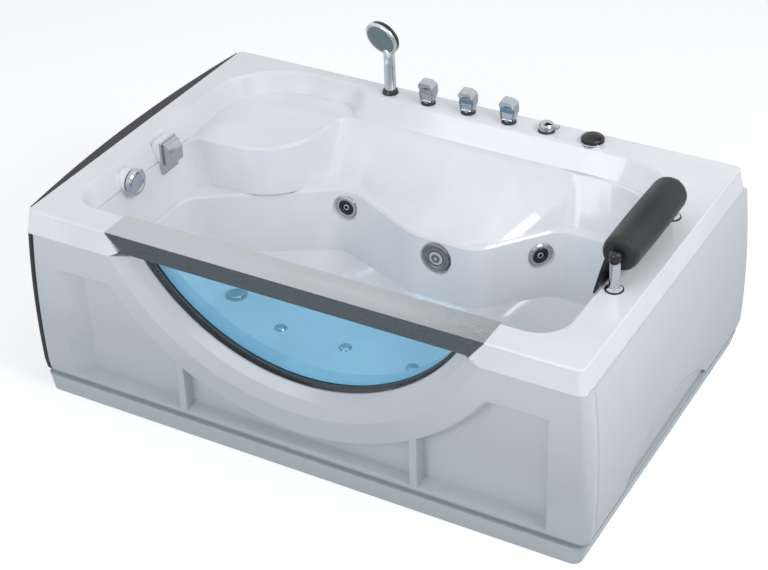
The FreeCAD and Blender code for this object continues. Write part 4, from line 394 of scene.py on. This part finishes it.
def lathe(name, profile, centre, axis="Z", around=48):
    """A turned shape: profile gives (radius, height) along the axis; a radius of 0 closes it."""
    points, rows = [], []
    for radius, height in profile:
        count = 1 if radius == 0 else around
        row = []
        for step in range(count):
            turn = 2 * math.pi * step / around
            flat = Vector((radius * math.cos(turn), radius * math.sin(turn), height))
            if axis == "Y":
                flat = Vector((flat.x, flat.z, flat.y))
            row.append(len(points))
            points.append(Vector(centre) + flat)
        rows.append(row)
    faces = []
    for first, second in zip(rows, rows[1:]):
        for step in range(around):
            after = (step + 1) % around
            corners = [
                first[step % len(first)], first[after % len(first)],
                second[after % len(second)], second[step % len(second)],
            ]
            faces.append(list(dict.fromkeys(corners)))
    if len(rows[0]) > 1 and len(rows[-1]) > 1:
        faces += [
            [rows[-1][step], rows[-1][(step + 1) % around], rows[0][(step + 1) % around], rows[0][step]]
            for step in range(around)
        ]
    return mesh_from(name, points, faces)


def ring_mesh(name, centre, inner, outer, tall):
    """A round collar with a soft top edge."""
    soft = 0.3 * tall
    return lathe(name, [
        (inner, 0), (outer, 0), (outer, tall - soft), (outer - soft, tall), (inner + soft, tall),
        (inner, tall - soft),
    ], centre)


def apply_modifiers(piece):
    """Bakes the piece's modifiers into its mesh."""
    solved = piece.evaluated_get(bpy.context.evaluated_depsgraph_get())
    mesh = bpy.data.meshes.new_from_object(solved)
    piece.modifiers.clear()
    piece.data = mesh


def inflate(piece, pressure, frames, cap):
    """Blows a closed skin up like a filled cover; no point moves further than cap."""
    start = [vertex.co.copy() for vertex in piece.data.vertices]
    cloth = piece.modifiers.new("cloth", "CLOTH")
    cloth.settings.use_pressure = True
    cloth.settings.uniform_pressure_force = pressure
    cloth.settings.effector_weights.gravity = 0
    cloth.settings.tension_stiffness = 12
    cloth.settings.bending_stiffness = 0.8
    for step in range(1, frames + 1):
        bpy.context.scene.frame_set(step)
    apply_modifiers(piece)
    bpy.context.scene.frame_set(1)
    for vertex, first in zip(piece.data.vertices, start):
        moved = vertex.co - first
        if moved.length > cap:
            vertex.co = first + moved * (cap / moved.length)


# ---------------------------------------------------------------- the headrest's soft forms
END_RINGS = (0.2, 0.4, 0.6, 0.76)  # the end's rings, as shares of the roll's radius
END_HOLLOW = 1.5 * MM  # how far the end's middle lies behind its rim
SHOULDER = 14 * MM  # length of the rounded shoulder at each end
ROLL_ROOM = 2 * MM  # left round the roll's solid for the skin to swell into
ROLL_END_ROOM = 3 * MM
RING_DEPTH = 0.7 * MM  # half the depth of the moulded rings
GATHER = 1.6 * MM  # height of the folds in the roll's ends
GATHERS = 16

POST_INSET = 22 * MM  # from the stand's end to the middle of its post
HOOD_RADIUS = 17 * MM
HOOD_LIP = 12 * MM  # below the post's top, where the hood's lower edge starts
HOOD_DROP = 8 * MM  # how far the outer side of that edge comes down
# The black collar at each post's foot is partly a gasket and partly painted shadow round the post.
COLLAR_INNER, COLLAR_OUTER, COLLAR_TALL = 22.3 * MM, 25.6 * MM, 3.2 * MM

FLAP_SEAM, FLAP_HEM = 0.684, 0.608  # heights of the seam and of the lower corners
FLAP_SEAM_HALF, FLAP_HEM_HALF = 0.152, 0.228  # half the flap's width at those heights
FLAP_BELLY = 0.028  # how far the hem's middle hangs below its corners
FLAP_SAG = 0.006  # how far the seam's ends lie below its middle
FLAP_FOLD = 2.2 * MM
FLAP_LEAN = 3 * MM
FLAP_UNDER_ROLL = 6 * MM  # how far behind the roll's front the flap hangs
FLAP_COLUMNS, FLAP_ROWS = 56, 14


def bolster_mesh(middle, radius, half, rib):
    """A round roll along Y, a little fuller in the middle, with pulled-in ends, as an even grid of
    about one row to a moulded ring, which the later subdivision doubles."""
    rows = 2 * round(half / rib)
    profile = [(0, -half)]
    profile += [(radius * share, -half - END_HOLLOW * share) for share in END_RINGS]
    for step in range(rows + 1):
        along = -half + 2 * half * step / rows
        near = min(half - abs(along), SHOULDER) / SHOULDER
        shoulder = 0.88 + 0.12 * math.sin(near * math.pi / 2)
        profile.append((radius * (shoulder - 0.02 * (along / half) ** 2), along))
    profile += [(radius * share, half + END_HOLLOW * share) for share in reversed(END_RINGS)]
    profile.append((0, half))
    return lathe("headrest_roll", profile, middle, axis="Y", around=72)


def crimp(piece, middle, radius, rib):
    """Presses the moulded rings into the roll and gathers the skin at its two ends."""
    for vertex in piece.data.vertices:
        offset = vertex.co - middle
        across = Vector((offset.x, 0, offset.z))
        share = across.length / radius
        turn = math.atan2(offset.z, offset.x)
        if share > 0.8:
            fade = min(1.0, (share - 0.8) / 0.1)
            ring = -RING_DEPTH * fade * (1 + math.cos(2 * math.pi * offset.y / rib))
            vertex.co += across.normalized() * ring
        elif share > 0.15:
            gather = GATHER * math.cos(GATHERS * turn) * math.sin(math.pi * (share - 0.15) / 0.65)
            vertex.co.y += math.copysign(gather, offset.y)


def cap_mesh(post, way):
    """A moulded cap over a post's top: a thin hood, whose lower edge slopes up towards the roll.
    The profile is in millimetres from the post's top."""
    profile = [
        (0, 5.5), (7, 5.2), (12.5, 3.6), (16.2, -0.8), (17.2, -7), (17.2, -17), (15.4, -17),
        (15.4, -3.4), (11.6, 0.6), (0, 0.6),
    ]
    hood = lathe("post_cap", [(r * MM, h * MM) for r, h in profile], post, around=40)
    for vertex in hood.vertices:
        if vertex.co.z < post.z - HOOD_LIP:
            vertex.co.z -= HOOD_DROP * (vertex.co.y - post.y) * way / HOOD_RADIUS
    return hood


def flap_mesh(plane, middle):
    """The flap that hangs from the roll's basin side down behind the deck's edge: narrow at its seam,
    pointed at its lower corners, with loose folds. Its black corner also fills the dark wedge beside the
    near post, which is painted shadow. Returns the mesh and its flat area."""
    points = []
    for row in range(FLAP_ROWS + 1):
        down = row / FLAP_ROWS
        reach = FLAP_SEAM_HALF + (FLAP_HEM_HALF - FLAP_SEAM_HALF) * down ** 0.8
        for column in range(FLAP_COLUMNS + 1):
            side = 2 * column / FLAP_COLUMNS - 1
            hem = FLAP_HEM - FLAP_BELLY * (1 - side ** 2) ** 0.5
            z = FLAP_SEAM + (hem - FLAP_SEAM) * down - FLAP_SAG * abs(side) * (1 - down)
            fold = FLAP_FOLD * down * math.sin(7.5 * side * math.pi / 2 + 0.6)
            points.append((plane + fold - FLAP_LEAN * down, middle + side * reach, z))
    wide = FLAP_COLUMNS + 1
    corners = (0, 1, wide + 1, wide)
    faces = [
        [row * wide + column + corner for corner in corners]
        for row in range(FLAP_ROWS) for column in range(FLAP_COLUMNS)
    ]
    mesh = mesh_from("headrest_shadow_flap", points, faces)
    return mesh, sum(face.area for face in mesh.polygons)


# ---------------------------------------------------------------- the hand shower's forms
HEAD_THICK = 26 * MM
HEAD_AXIS = Vector((0.16, 0.94, 0.29)).normalized()  # from the head's face to its back
HEAD_FROM_FOOT = Vector((-20, -12, 182)) * MM  # the head's middle, from the handle's foot on the deck
FACE_EDGE = 9.5 * MM  # from the spray plate's edge to the head's
GRIP_START = 4.2 * MM  # behind the face, where the black grip begins
GRIP_TURN = (-60, 112)  # the part of the back that the grip covers, in degrees
NOZZLES = ((8, 6), (16, 12), (24, 18), (32, 24), (40, 30))  # each ring's radius in mm and its count
BUTTON_HEIGHT = 112 * MM
BUTTON_WIDE, BUTTON_TALL, BUTTON_PROUD = 5.5 * MM, 9 * MM, 2.2 * MM


def handle_mesh(foot, radius):
    """The handle: round and straight from its holder, then leaning back to meet the head. Each
    station is its middle's x, y and z from the foot and its radius over the handle's, all in
    millimetres; the first and the last one close the ends."""
    stations = [
        (0, 0, -40, 0), (0, 0, -40, -3), (0, 0, -36, 0), (0, 0, 40, 0), (0, 0, 84, -0.4),
        (-0.5, 0.5, 104, -0.8), (-2, 2, 122, -1), (-4, 6, 138, -0.4), (-7, 11, 152, 0.4),
        (-11, 17, 166, 0.4), (-15, 22, 178, -2), (-17, 25, 184, -6), (-17, 25, 186, 0),
    ]
    around = 40
    points, faces = [], []
    for index, (x, y, z, swell) in enumerate(stations):
        size = 0.2 * MM if index in (0, len(stations) - 1) else radius + swell * MM
        for step in range(around):
            turn = 2 * math.pi * step / around
            points.append(foot + Vector((
                x * MM + size * math.cos(turn), y * MM + size * math.sin(turn), z * MM,
            )))
    for low in range(0, len(points) - around, around):
        high = low + around
        for step in range(around):
            after = (step + 1) % around
            faces.append([low + step, low + after, high + after, high + step])
    faces += [list(range(around)), list(range(len(points) - around, len(points)))]
    return mesh_from("handset_handle", points, faces)


def aimed(mesh, centre):
    """Turns a shape made along Z so that Z runs from the head's face to its back."""
    mesh.transform(Matrix.Translation(centre) @ HEAD_AXIS.to_track_quat("Z", "Y").to_matrix().to_4x4())
    return mesh


def head_mesh(centre, edge):
    """The head's housing: a silver rim round the face, and a domed back with a black grip that
    leaves a silver crown at the top."""
    thick = HEAD_THICK
    profile = [
        (0, -3.2 * MM), (edge - 9 * MM, -3.2 * MM), (edge - 8 * MM, -4 * MM), (edge - 5 * MM, -4 * MM),
        (edge - 1.5 * MM, -1 * MM), (edge, 4 * MM), (edge, 9 * MM), (edge - 1.5 * MM, thick - 10 * MM),
        (edge - 6 * MM, thick - 5 * MM), (edge - 14 * MM, thick), (edge - 28 * MM, thick + 5 * MM),
        (16 * MM, thick + 8 * MM), (0, thick + 8 * MM),
    ]
    mesh = aimed(lathe("handset_head", profile, (0, 0, 0), around=72), centre)
    for face in mesh.polygons:
        away = face.center - centre
        back = away.dot(HEAD_AXIS)
        turn = math.degrees(math.atan2(away.z, away.x))
        if back > GRIP_START and GRIP_TURN[0] < turn < GRIP_TURN[1]:
            face.material_index = 1
    return mesh


def face_mesh(centre, edge):
    """The spray plate with its rings of soft nozzles."""
    plate = lathe("spray_plate", [
        (0, -5.2 * MM), (edge - 14 * MM, -4.8 * MM), (edge - FACE_EDGE, -4.0 * MM),
        (edge - FACE_EDGE, -3.4 * MM), (0, -3.4 * MM),
    ], (0, 0, 0), around=72)
    shell = bmesh.new()
    shell.from_mesh(plate)
    for ring, count in NOZZLES:
        for step in range(count):
            turn = 2 * math.pi * step / count
            bmesh.ops.create_cone(
                shell, cap_ends=True, segments=8, radius1=0.9 * MM, radius2=1.4 * MM, depth=1.6 * MM,
                matrix=Matrix.Translation((
                    ring * MM * math.cos(turn), ring * MM * math.sin(turn), -5.3 * MM,
                )),
            )
    shell.to_mesh(plate)
    shell.free()
    return aimed(plate, centre)


def dome_mesh(name, centre, wide, tall, proud):
    """A low oval push button, half of which is sunk in its seat."""
    shell = bmesh.new()
    bmesh.ops.create_uvsphere(shell, u_segments=28, v_segments=14, radius=1.0)
    mesh = bpy.data.meshes.new(name)
    shell.to_mesh(mesh)
    shell.free()
    mesh.transform(Matrix.Translation(centre) @ Matrix.Diagonal((wide, proud, tall, 1)))
    return mesh


# ---------------------------------------------------------------- sizes and colours
def colour_property(name, description, code):
    """A colour that the user can change, with its default as an sRGB code."""
    return FloatVectorProperty(
        name=name, description=description, subtype="COLOR", size=4, min=0, max=1, default=linear(code),
    )


class BathFinish(PropertyGroup):
    acrylic: colour_property("Acrylic", "White of the basin and deck", "#f3f4f6")
    acrylic_shade: colour_property("Acrylic shade", "The faint second tone of the white", "#ebedf1")
    skirt_top: colour_property("Skirt, top", "Colour of the skirts under the deck", "#dadde2")
    # The foot colour is painted shade, darker towards the floor.
    skirt_foot_shade: colour_property("Skirt, foot", "Colour of the skirts near the floor", "#b3bcc0")
    pane: colour_property("Window", "Tint of the window pane", "#a8e4ff")
    steel: colour_property("Steel trim", "Colour of the brushed trim", "#bfc2c6")
    foam: colour_property("Headrest", "Colour of the headrest's skin", "#0f1113")
    foam_worn: colour_property("Headrest, handled", "Colour where the skin is handled", "#1c2123")


class BathSizes(PropertyGroup):
    rib: FloatProperty(
        name="Roll's rings", description="Spacing of the headrest's moulded rings", subtype="DISTANCE",
        unit="LENGTH", default=9 * MM, min=4 * MM, max=30 * MM,
    )
    swell: FloatProperty(
        name="Roll's swell", description="How far the headrest's skin may swell", subtype="DISTANCE",
        unit="LENGTH", default=3.5 * MM, min=0, max=4 * MM,
    )
    handle_radius: FloatProperty(
        name="Handle", description="Radius of the hand shower's handle", subtype="DISTANCE",
        unit="LENGTH", default=18 * MM, min=12 * MM, max=20 * MM,
    )
    head_radius: FloatProperty(
        name="Spray head", description="Radius of the hand shower's head", subtype="DISTANCE",
        unit="LENGTH", default=58 * MM, min=50 * MM, max=60 * MM,
    )


class BathStage(PropertyGroup):
    azimuth: FloatProperty(
        name="Azimuth", description="Camera's turn about the bath", subtype="ANGLE",
        default=math.radians(30.4207),
    )
    elevation: FloatProperty(
        name="Elevation", description="Camera's angle above the floor", subtype="ANGLE",
        default=math.radians(33.7087),
    )
    roll: FloatProperty(
        name="Roll", description="Camera's turn about its own axis", subtype="ANGLE",
        default=math.radians(-2.1666),
    )
    distance: FloatProperty(
        name="Distance", description="Camera from the bath's middle", unit="LENGTH", default=5.3358,
    )
    lens: FloatProperty(name="Lens", description="Focal length", unit="CAMERA", default=86.354)
    overhead: FloatProperty(
        name="Overhead lamp", description="Power of the overhead lamp", unit="POWER", default=8.0, min=0,
    )
    side: FloatProperty(
        name="Side lamp", description="Power of the head-end lamp", unit="POWER", default=46.0, min=0,
    )
    front: FloatProperty(
        name="Front lamp", description="Power of the front lamp", unit="POWER", default=46.0, min=0,
    )
    ambient: FloatProperty(
        name="Room light", description="Strength of the even light", subtype="FACTOR", default=0.56,
        min=0, max=2,
    )


# ---------------------------------------------------------------- the stage
FLOOR_HALF = 9
FLOOR_DROP = 0.5 * MM  # keeps the floor clear of the faces that stand on it
FLOOR_LIFT = 0.4  # what the camera sees of the floor is lifted towards the white behind it
CAMERA_TARGET = Vector((-0.0001, -0.0374, 0.30785))
LAMP_TARGET = Vector((0, 0, 0.35))
# Dark cards that only reflections show: each one's colour, its corners and its height.
FLAGS = (
    ("flag_above", "#3a3e42", (-1.3, 1.6), (1.4, 4.4), 3.3),
    ("flag_floor", "#6a7579", (-2.2, -2.8), (1.0, -0.75), 0.002),
)


def flat_mesh(name, low, high, height):
    """A level rectangle."""
    mesh = bpy.data.meshes.new(name)
    corners = ((low[0], low[1]), (high[0], low[1]), (high[0], high[1]), (low[0], high[1]))
    mesh.from_pydata([(*corner, height) for corner in corners], [], [(0, 1, 2, 3)])
    return mesh


def make_floor(scene):
    """A pale floor that fades into the white behind it."""
    mesh = flat_mesh("floor", (-FLOOR_HALF, -FLOOR_HALF), (FLOOR_HALF, FLOOR_HALF), 0)
    floor = bpy.data.objects.new("floor", mesh)
    scene.collection.objects.link(floor)
    floor.location.z = -FLOOR_DROP
    material, tree, shader = new_material("floor_pale", "#f0f1f3", 0.8, Specular_IOR_Level=0.2)
    grit = add_node(tree, "ShaderNodeTexNoise", Vector=place(tree), Scale=per_mm(40), Detail=3.0)
    tone = two_tone(tree, grit.outputs["Fac"], linear("#eeeff1"), linear("#f4f5f6"))
    drive(tree, shader, "Base Color", tone)
    shader.inputs["Emission Color"].default_value = linear("#ffffff")
    rays = add_node(tree, "ShaderNodeLightPath")
    lift = add_node(
        tree, "ShaderNodeMath", {"operation": "MULTIPLY"}, _0=rays.outputs["Is Camera Ray"], _1=FLOOR_LIFT,
    )
    drive(tree, shader, "Emission Strength", lift.outputs[0])
    mesh.materials.append(material)


def make_world(scene, ambient):
    """An even room light, which the camera, reflections and clear pieces see as plain white."""
    world = bpy.data.worlds.new("studio")
    scene.world = world
    world.use_nodes = True
    tree = world.node_tree
    rays = add_node(tree, "ShaderNodeLightPath")
    seen = rays.outputs["Is Camera Ray"]
    for kind in ("Is Glossy Ray", "Is Transmission Ray"):
        seen = add_node(
            tree, "ShaderNodeMath", {"operation": "MAXIMUM"}, _0=seen, _1=rays.outputs[kind],
        ).outputs[0]
    backdrop = tree.nodes["Background"]
    backdrop.inputs["Color"].default_value = linear("#ffffff")
    backdrop.inputs["Strength"].default_value = 1.0
    room = add_node(tree, "ShaderNodeBackground", Color=linear("#eef0f6"), Strength=ambient)
    mixed = add_node(tree, "ShaderNodeMixShader", _0=seen, _1=room.outputs[0], _2=backdrop.outputs[0])
    tree.links.new(mixed.outputs[0], tree.nodes["World Output"].inputs["Surface"])


def make_flag(scene, name, shade, low, high, height):
    """A dark card that gives the metal something to reflect and that nothing else shows."""
    mesh = flat_mesh(name, low, high, height)
    mesh.materials.append(new_material(f"{name}_cloth", shade, 0.9)[0])
    flag = bpy.data.objects.new(name, mesh)
    scene.collection.objects.link(flag)
    flag.visible_camera = flag.visible_diffuse = False
    flag.visible_shadow = flag.visible_transmission = False


def make_lamp(scene, name, spot, power, width, depth):
    """A soft rectangular lamp, aimed at the bath."""
    lamp = bpy.data.lights.new(name, "AREA")
    lamp.shape = "RECTANGLE"
    lamp.size, lamp.size_y, lamp.energy = width, depth, power
    light = bpy.data.objects.new(name, lamp)
    light.location = spot
    light.rotation_mode = "QUATERNION"
    light.rotation_quaternion = (LAMP_TARGET - Vector(spot)).to_track_quat("-Z", "Y")
    scene.collection.objects.link(light)


def make_camera(scene, stage):
    """The camera at the photograph's viewing angle."""
    data = bpy.data.cameras.new("camera")
    data.lens, data.sensor_width = stage.lens, 36.0
    camera = bpy.data.objects.new("camera", data)
    scene.collection.objects.link(camera)
    back = Vector((
        math.sin(stage.azimuth) * math.cos(stage.elevation),
        -math.cos(stage.azimuth) * math.cos(stage.elevation),
        math.sin(stage.elevation),
    ))
    right = (-back).cross(Vector((0, 0, 1))).normalized()
    up = right.cross(-back)
    across = right * math.cos(stage.roll) + up * math.sin(stage.roll)
    upward = up * math.cos(stage.roll) - right * math.sin(stage.roll)
    turned = Matrix((across, upward, back)).transposed().to_4x4()
    camera.matrix_world = Matrix.Translation(CAMERA_TARGET + back * stage.distance) @ turned
    scene.camera = camera


# ---------------------------------------------------------------- operators
class BATH_OT_shell(Operator):
    """Gives the basin, deck and skirts their acrylic"""
    bl_idname = "bath.shell"
    bl_label = "Basin and skirts"

    def execute(self, context):
        finish = context.scene.bath_finish
        dress(cast_acrylic("cast_acrylic_gloss", finish.acrylic, finish.acrylic_shade), "tub_shell")
        satin = skirt_acrylic("cast_acrylic_satin", finish.skirt_top, finish.skirt_foot_shade)
        dress(satin, "front_skirt", "end_skirt")
        # The black wall seal along the left edge is partly a real seal and partly painted shade in the
        # dark band there.
        dress(extruded_rubber("rubber_extruded", "#1c1d1f"), "wall_seal", "button_bellows")
        dress(extruded_rubber("rubber_extruded_grey", "#5d6a70", "#434e53"), "window_seal")
        return {"FINISHED"}


class BATH_OT_window(Operator):
    """Gives the window its tinted pane and brushed trim"""
    bl_idname = "bath.window"
    bl_label = "Window and trim"

    def execute(self, context):
        finish = context.scene.bath_finish
        dress(tinted_pane("glass_tinted_toughened", finish.pane), "window_glass")
        dress(brushed_steel("stainless_brushed", finish.steel, (0.02, 1.0, 1.0)), "steel_trim")
        return {"FINISHED"}


class BATH_OT_frame(Operator):
    """Gives the frame, feet and boards their metal and wood"""
    bl_idname = "bath.frame"
    bl_label = "Frame and feet"

    def execute(self, context):
        dress(galvanised_steel("steel_galvanised"), "long_rails", "cross_rails", "frame_posts")
        dress(zinc_plate("steel_zinc_plated"), "levelling_feet", "foot_nuts")
        dress(birch_plywood("plywood_birch_sealed"), "base_board", "machine_boards")
        return {"FINISHED"}


class BATH_OT_plumbing(Operator):
    """Gives the pump, pipes and hidden fittings their materials"""
    bl_idname = "bath.plumbing"
    bl_label = "Plumbing"

    def execute(self, context):
        dress(rigid_pvc("pvc_extruded", "#e9e9e5"), "waste_pipe", "overflow_pipe", "suction_pipe",
              "water_manifold", "air_manifold", "blower_pipe", "air_tube", "filler_pipe")
        dress(turned_brass("brass_turned"), "tap_valves", "supply_pipes", "pump_impeller")
        dress(powder_coat("aluminium_powder_coated", "#2d3136"), "pump_motor")
        dress(moulded_plastic("glass_filled_nylon_moulded", "#1c1d1f", 0.48, 1.2), "pump_wet_end",
              "air_blower", "suction_body", "back_nuts", "floor_jet_nuts", "overflow_body")
        dress(moulded_plastic("abs_moulded_grey", "#8b9498", 0.45, 1.4), "control_box")
        dress(moulded_plastic("abs_moulded_pale", "#d9dcdd", 0.4, 1.4), "lamp_body")
        return {"FINISHED"}


class BATH_OT_fittings(Operator):
    """Gives the jets, lamp, drain, overflow and spout their plating"""
    bl_idname = "bath.fittings"
    bl_label = "Basin fittings"

    def execute(self, context):
        dress(chrome_plate("chrome_plate"), "jet_housings", "jet_nozzle_1", "jet_nozzle_2", "floor_jets",
              "drain_body", "drain_plug", "overflow_knob", "filler_spout", "suction_cover")
        dress(moulded_plastic("abs_moulded_black", "#141517", 0.3, 1.0, 0.03), "jet_ring_1", "jet_ring_2")
        dress(clear_lens("polycarbonate_moulded", middle_of("lamp_lens")), "lamp_lens")
        # The lamp bezel's chrome is a darker copy of the plating: painted shade.
        dress(chrome_plate("chrome_plate_shaded", "#85898d", 0.12), "lamp_bezel")
        return {"FINISHED"}


class BATH_OT_deck(Operator):
    """Gives the taps, knob, button and hand shower their plating and plastics"""
    bl_idname = "bath.deck"
    bl_label = "Deck fittings"

    def execute(self, context):
        dress(chrome_plate("chrome_plate_taps"), "diverter_handle", "cold_handle", "hot_handle",
              "air_regulator_knob", "button_housing", "handset")
        # The black tap bases also stand for the dark reflection at the foot of each tap: partly painted
        # reflection.
        dress(moulded_plastic("acetal_moulded_black", "#17181a", 0.34, 0.9, 0.03), "deck_bases",
              "button_cap", "shower_holder")
        sizes = context.scene.bath_sizes
        foot = Vector((*middle_of("shower_holder")[:2], DECK))
        centre = foot + HEAD_FROM_FOOT
        satin = chrome_plate("chrome_plate_satin", "#d5d9dc", 0.16)
        grip = moulded_plastic("abs_moulded_grip", "#1b2124", 0.32, 0.8, 0.04)
        handle = handle_mesh(foot, sizes.handle_radius)
        handle = add_piece("handset_handle", handle, satin, "hand_shower")
        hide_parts("handset")
        head = head_mesh(centre, sizes.head_radius)
        head = add_piece("handset_head", head, satin, "hand_shower")
        head.data.materials.append(grip)
        slate = moulded_plastic("abs_moulded_slate", "#6f8085", 0.42, 1.0)
        plate = face_mesh(centre, sizes.head_radius)
        plate = add_piece("spray_plate", plate, slate, "hand_shower")
        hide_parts("spray_face")
        white = moulded_plastic("abs_moulded_white", "#f2f3f4", 0.3, 0.9, 0.02)
        seat = foot + Vector((0, -sizes.handle_radius, BUTTON_HEIGHT))
        button = dome_mesh("handset_button", seat, BUTTON_WIDE, BUTTON_TALL, BUTTON_PROUD)
        add_piece("handset_button", button, white, "hand_shower")
        return {"FINISHED"}


class BATH_OT_headrest(Operator):
    """Makes the soft headrest, its flap and the caps of its posts"""
    bl_idname = "bath.headrest"
    bl_label = "Headrest"

    def execute(self, context):
        finish = context.scene.bath_finish
        sizes = context.scene.bath_sizes
        dress(chrome_plate("chrome_plate_stand", "#c3c8cd"), "pillow_stand")
        skin = skinned_foam("polyurethane_skinned", finish.foam, finish.foam_worn)
        low, high = (Vector(corner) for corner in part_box("pillow"))
        middle = (low + high) / 2
        radius = (high.z - low.z) / 2 - ROLL_ROOM
        half = (high.y - low.y) / 2 - ROLL_END_ROOM
        roll = bolster_mesh(middle, radius, half, sizes.rib)
        roll = add_piece("headrest_roll", roll, skin, "headrest")
        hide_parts("pillow")
        inflate(roll, pressure=4.0, frames=20, cap=sizes.swell)
        smooth = roll.modifiers.new("smooth", "SUBSURF")
        smooth.levels = smooth.render_levels = 1
        apply_modifiers(roll)
        crimp(roll, middle, radius, sizes.rib)

        low, high = (Vector(corner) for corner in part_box("pillow_stand"))
        cap_plastic = moulded_plastic("nylon_moulded_black", "#0f1113", 0.26, 0.9, 0.03)
        ends = ((low.y + POST_INSET, -1), (high.y - POST_INSET, 1))
        for count, (side, way) in enumerate(ends, start=1):
            post = Vector(((low.x + high.x) / 2, side, high.z))
            add_piece(f"post_cap_{count}", cap_mesh(post, way), cap_plastic, "tub")
            foot = Vector((post.x, side, DECK))
            # A black collar round the post's foot: partly a gasket, partly painted shadow.
            collar = ring_mesh(f"post_shadow_ring_{count}", foot, COLLAR_INNER, COLLAR_OUTER, COLLAR_TALL)
            add_piece(f"post_shadow_ring_{count}", collar, cap_plastic, "tub")

        # The flap's black vinyl is partly a real flap and partly painted shadow in the dark wedge beside
        # the near post.
        vinyl = coated_vinyl("vinyl_coated", "#101214")
        mesh, area = flap_mesh(middle.x - radius + FLAP_UNDER_ROLL, middle.y)
        flap = add_piece("headrest_shadow_flap", mesh, vinyl, "tub")
        return {"FINISHED"}


class BATH_OT_stage(Operator):
    """Makes the floor, the light and the camera"""
    bl_idname = "bath.stage"
    bl_label = "Stage"

    def execute(self, context):
        scene = context.scene
        stage = scene.bath_stage
        make_floor(scene)
        make_world(scene, stage.ambient)
        for flag in FLAGS:
            make_flag(scene, *flag)
        make_lamp(scene, "overhead", (0.3, 0.9, 3.2), stage.overhead, 3.2, 2.4)
        make_lamp(scene, "head_end", (2.9, -0.5, 3.0), stage.side, 1.6, 1.2)
        make_lamp(scene, "front", (-1.0, -4.0, 2.2), stage.front, 2.6, 1.8)
        make_camera(scene, stage)
        scene.view_settings.view_transform = "Standard"
        return {"FINISHED"}


class BATH_PT_panel(Panel):
    """The bathtub's looks"""
    bl_idname = "BATH_PT_panel"
    bl_label = "Bathtub"
    bl_space_type = "VIEW_3D"
    bl_region_type = "UI"
    bl_category = "Bathtub"

    def draw(self, context):
        scene = context.scene
        for group in (scene.bath_finish, scene.bath_sizes, scene.bath_stage):
            for key in group.__annotations__:
                self.layout.prop(group, key)
        for operator in STEPS:
            self.layout.operator(operator.bl_idname)


STEPS = (
    BATH_OT_shell, BATH_OT_window, BATH_OT_frame, BATH_OT_plumbing, BATH_OT_fittings, BATH_OT_deck,
    BATH_OT_headrest, BATH_OT_stage,
)
CLASSES = (BathFinish, BathSizes, BathStage, *STEPS, BATH_PT_panel)


def register():
    for entry in CLASSES:
        bpy.utils.register_class(entry)
    bpy.types.Scene.bath_finish = PointerProperty(type=BathFinish)
    bpy.types.Scene.bath_sizes = PointerProperty(type=BathSizes)
    bpy.types.Scene.bath_stage = PointerProperty(type=BathStage)


def unregister():
    del bpy.types.Scene.bath_stage
    del bpy.types.Scene.bath_sizes
    del bpy.types.Scene.bath_finish
    for entry in reversed(CLASSES):
        bpy.utils.unregister_class(entry)


def main():
    register()
    for step in STEPS:
        getattr(bpy.ops.bath, step.bl_idname.split(".")[1])()


if __name__ == "__main__":
    main()
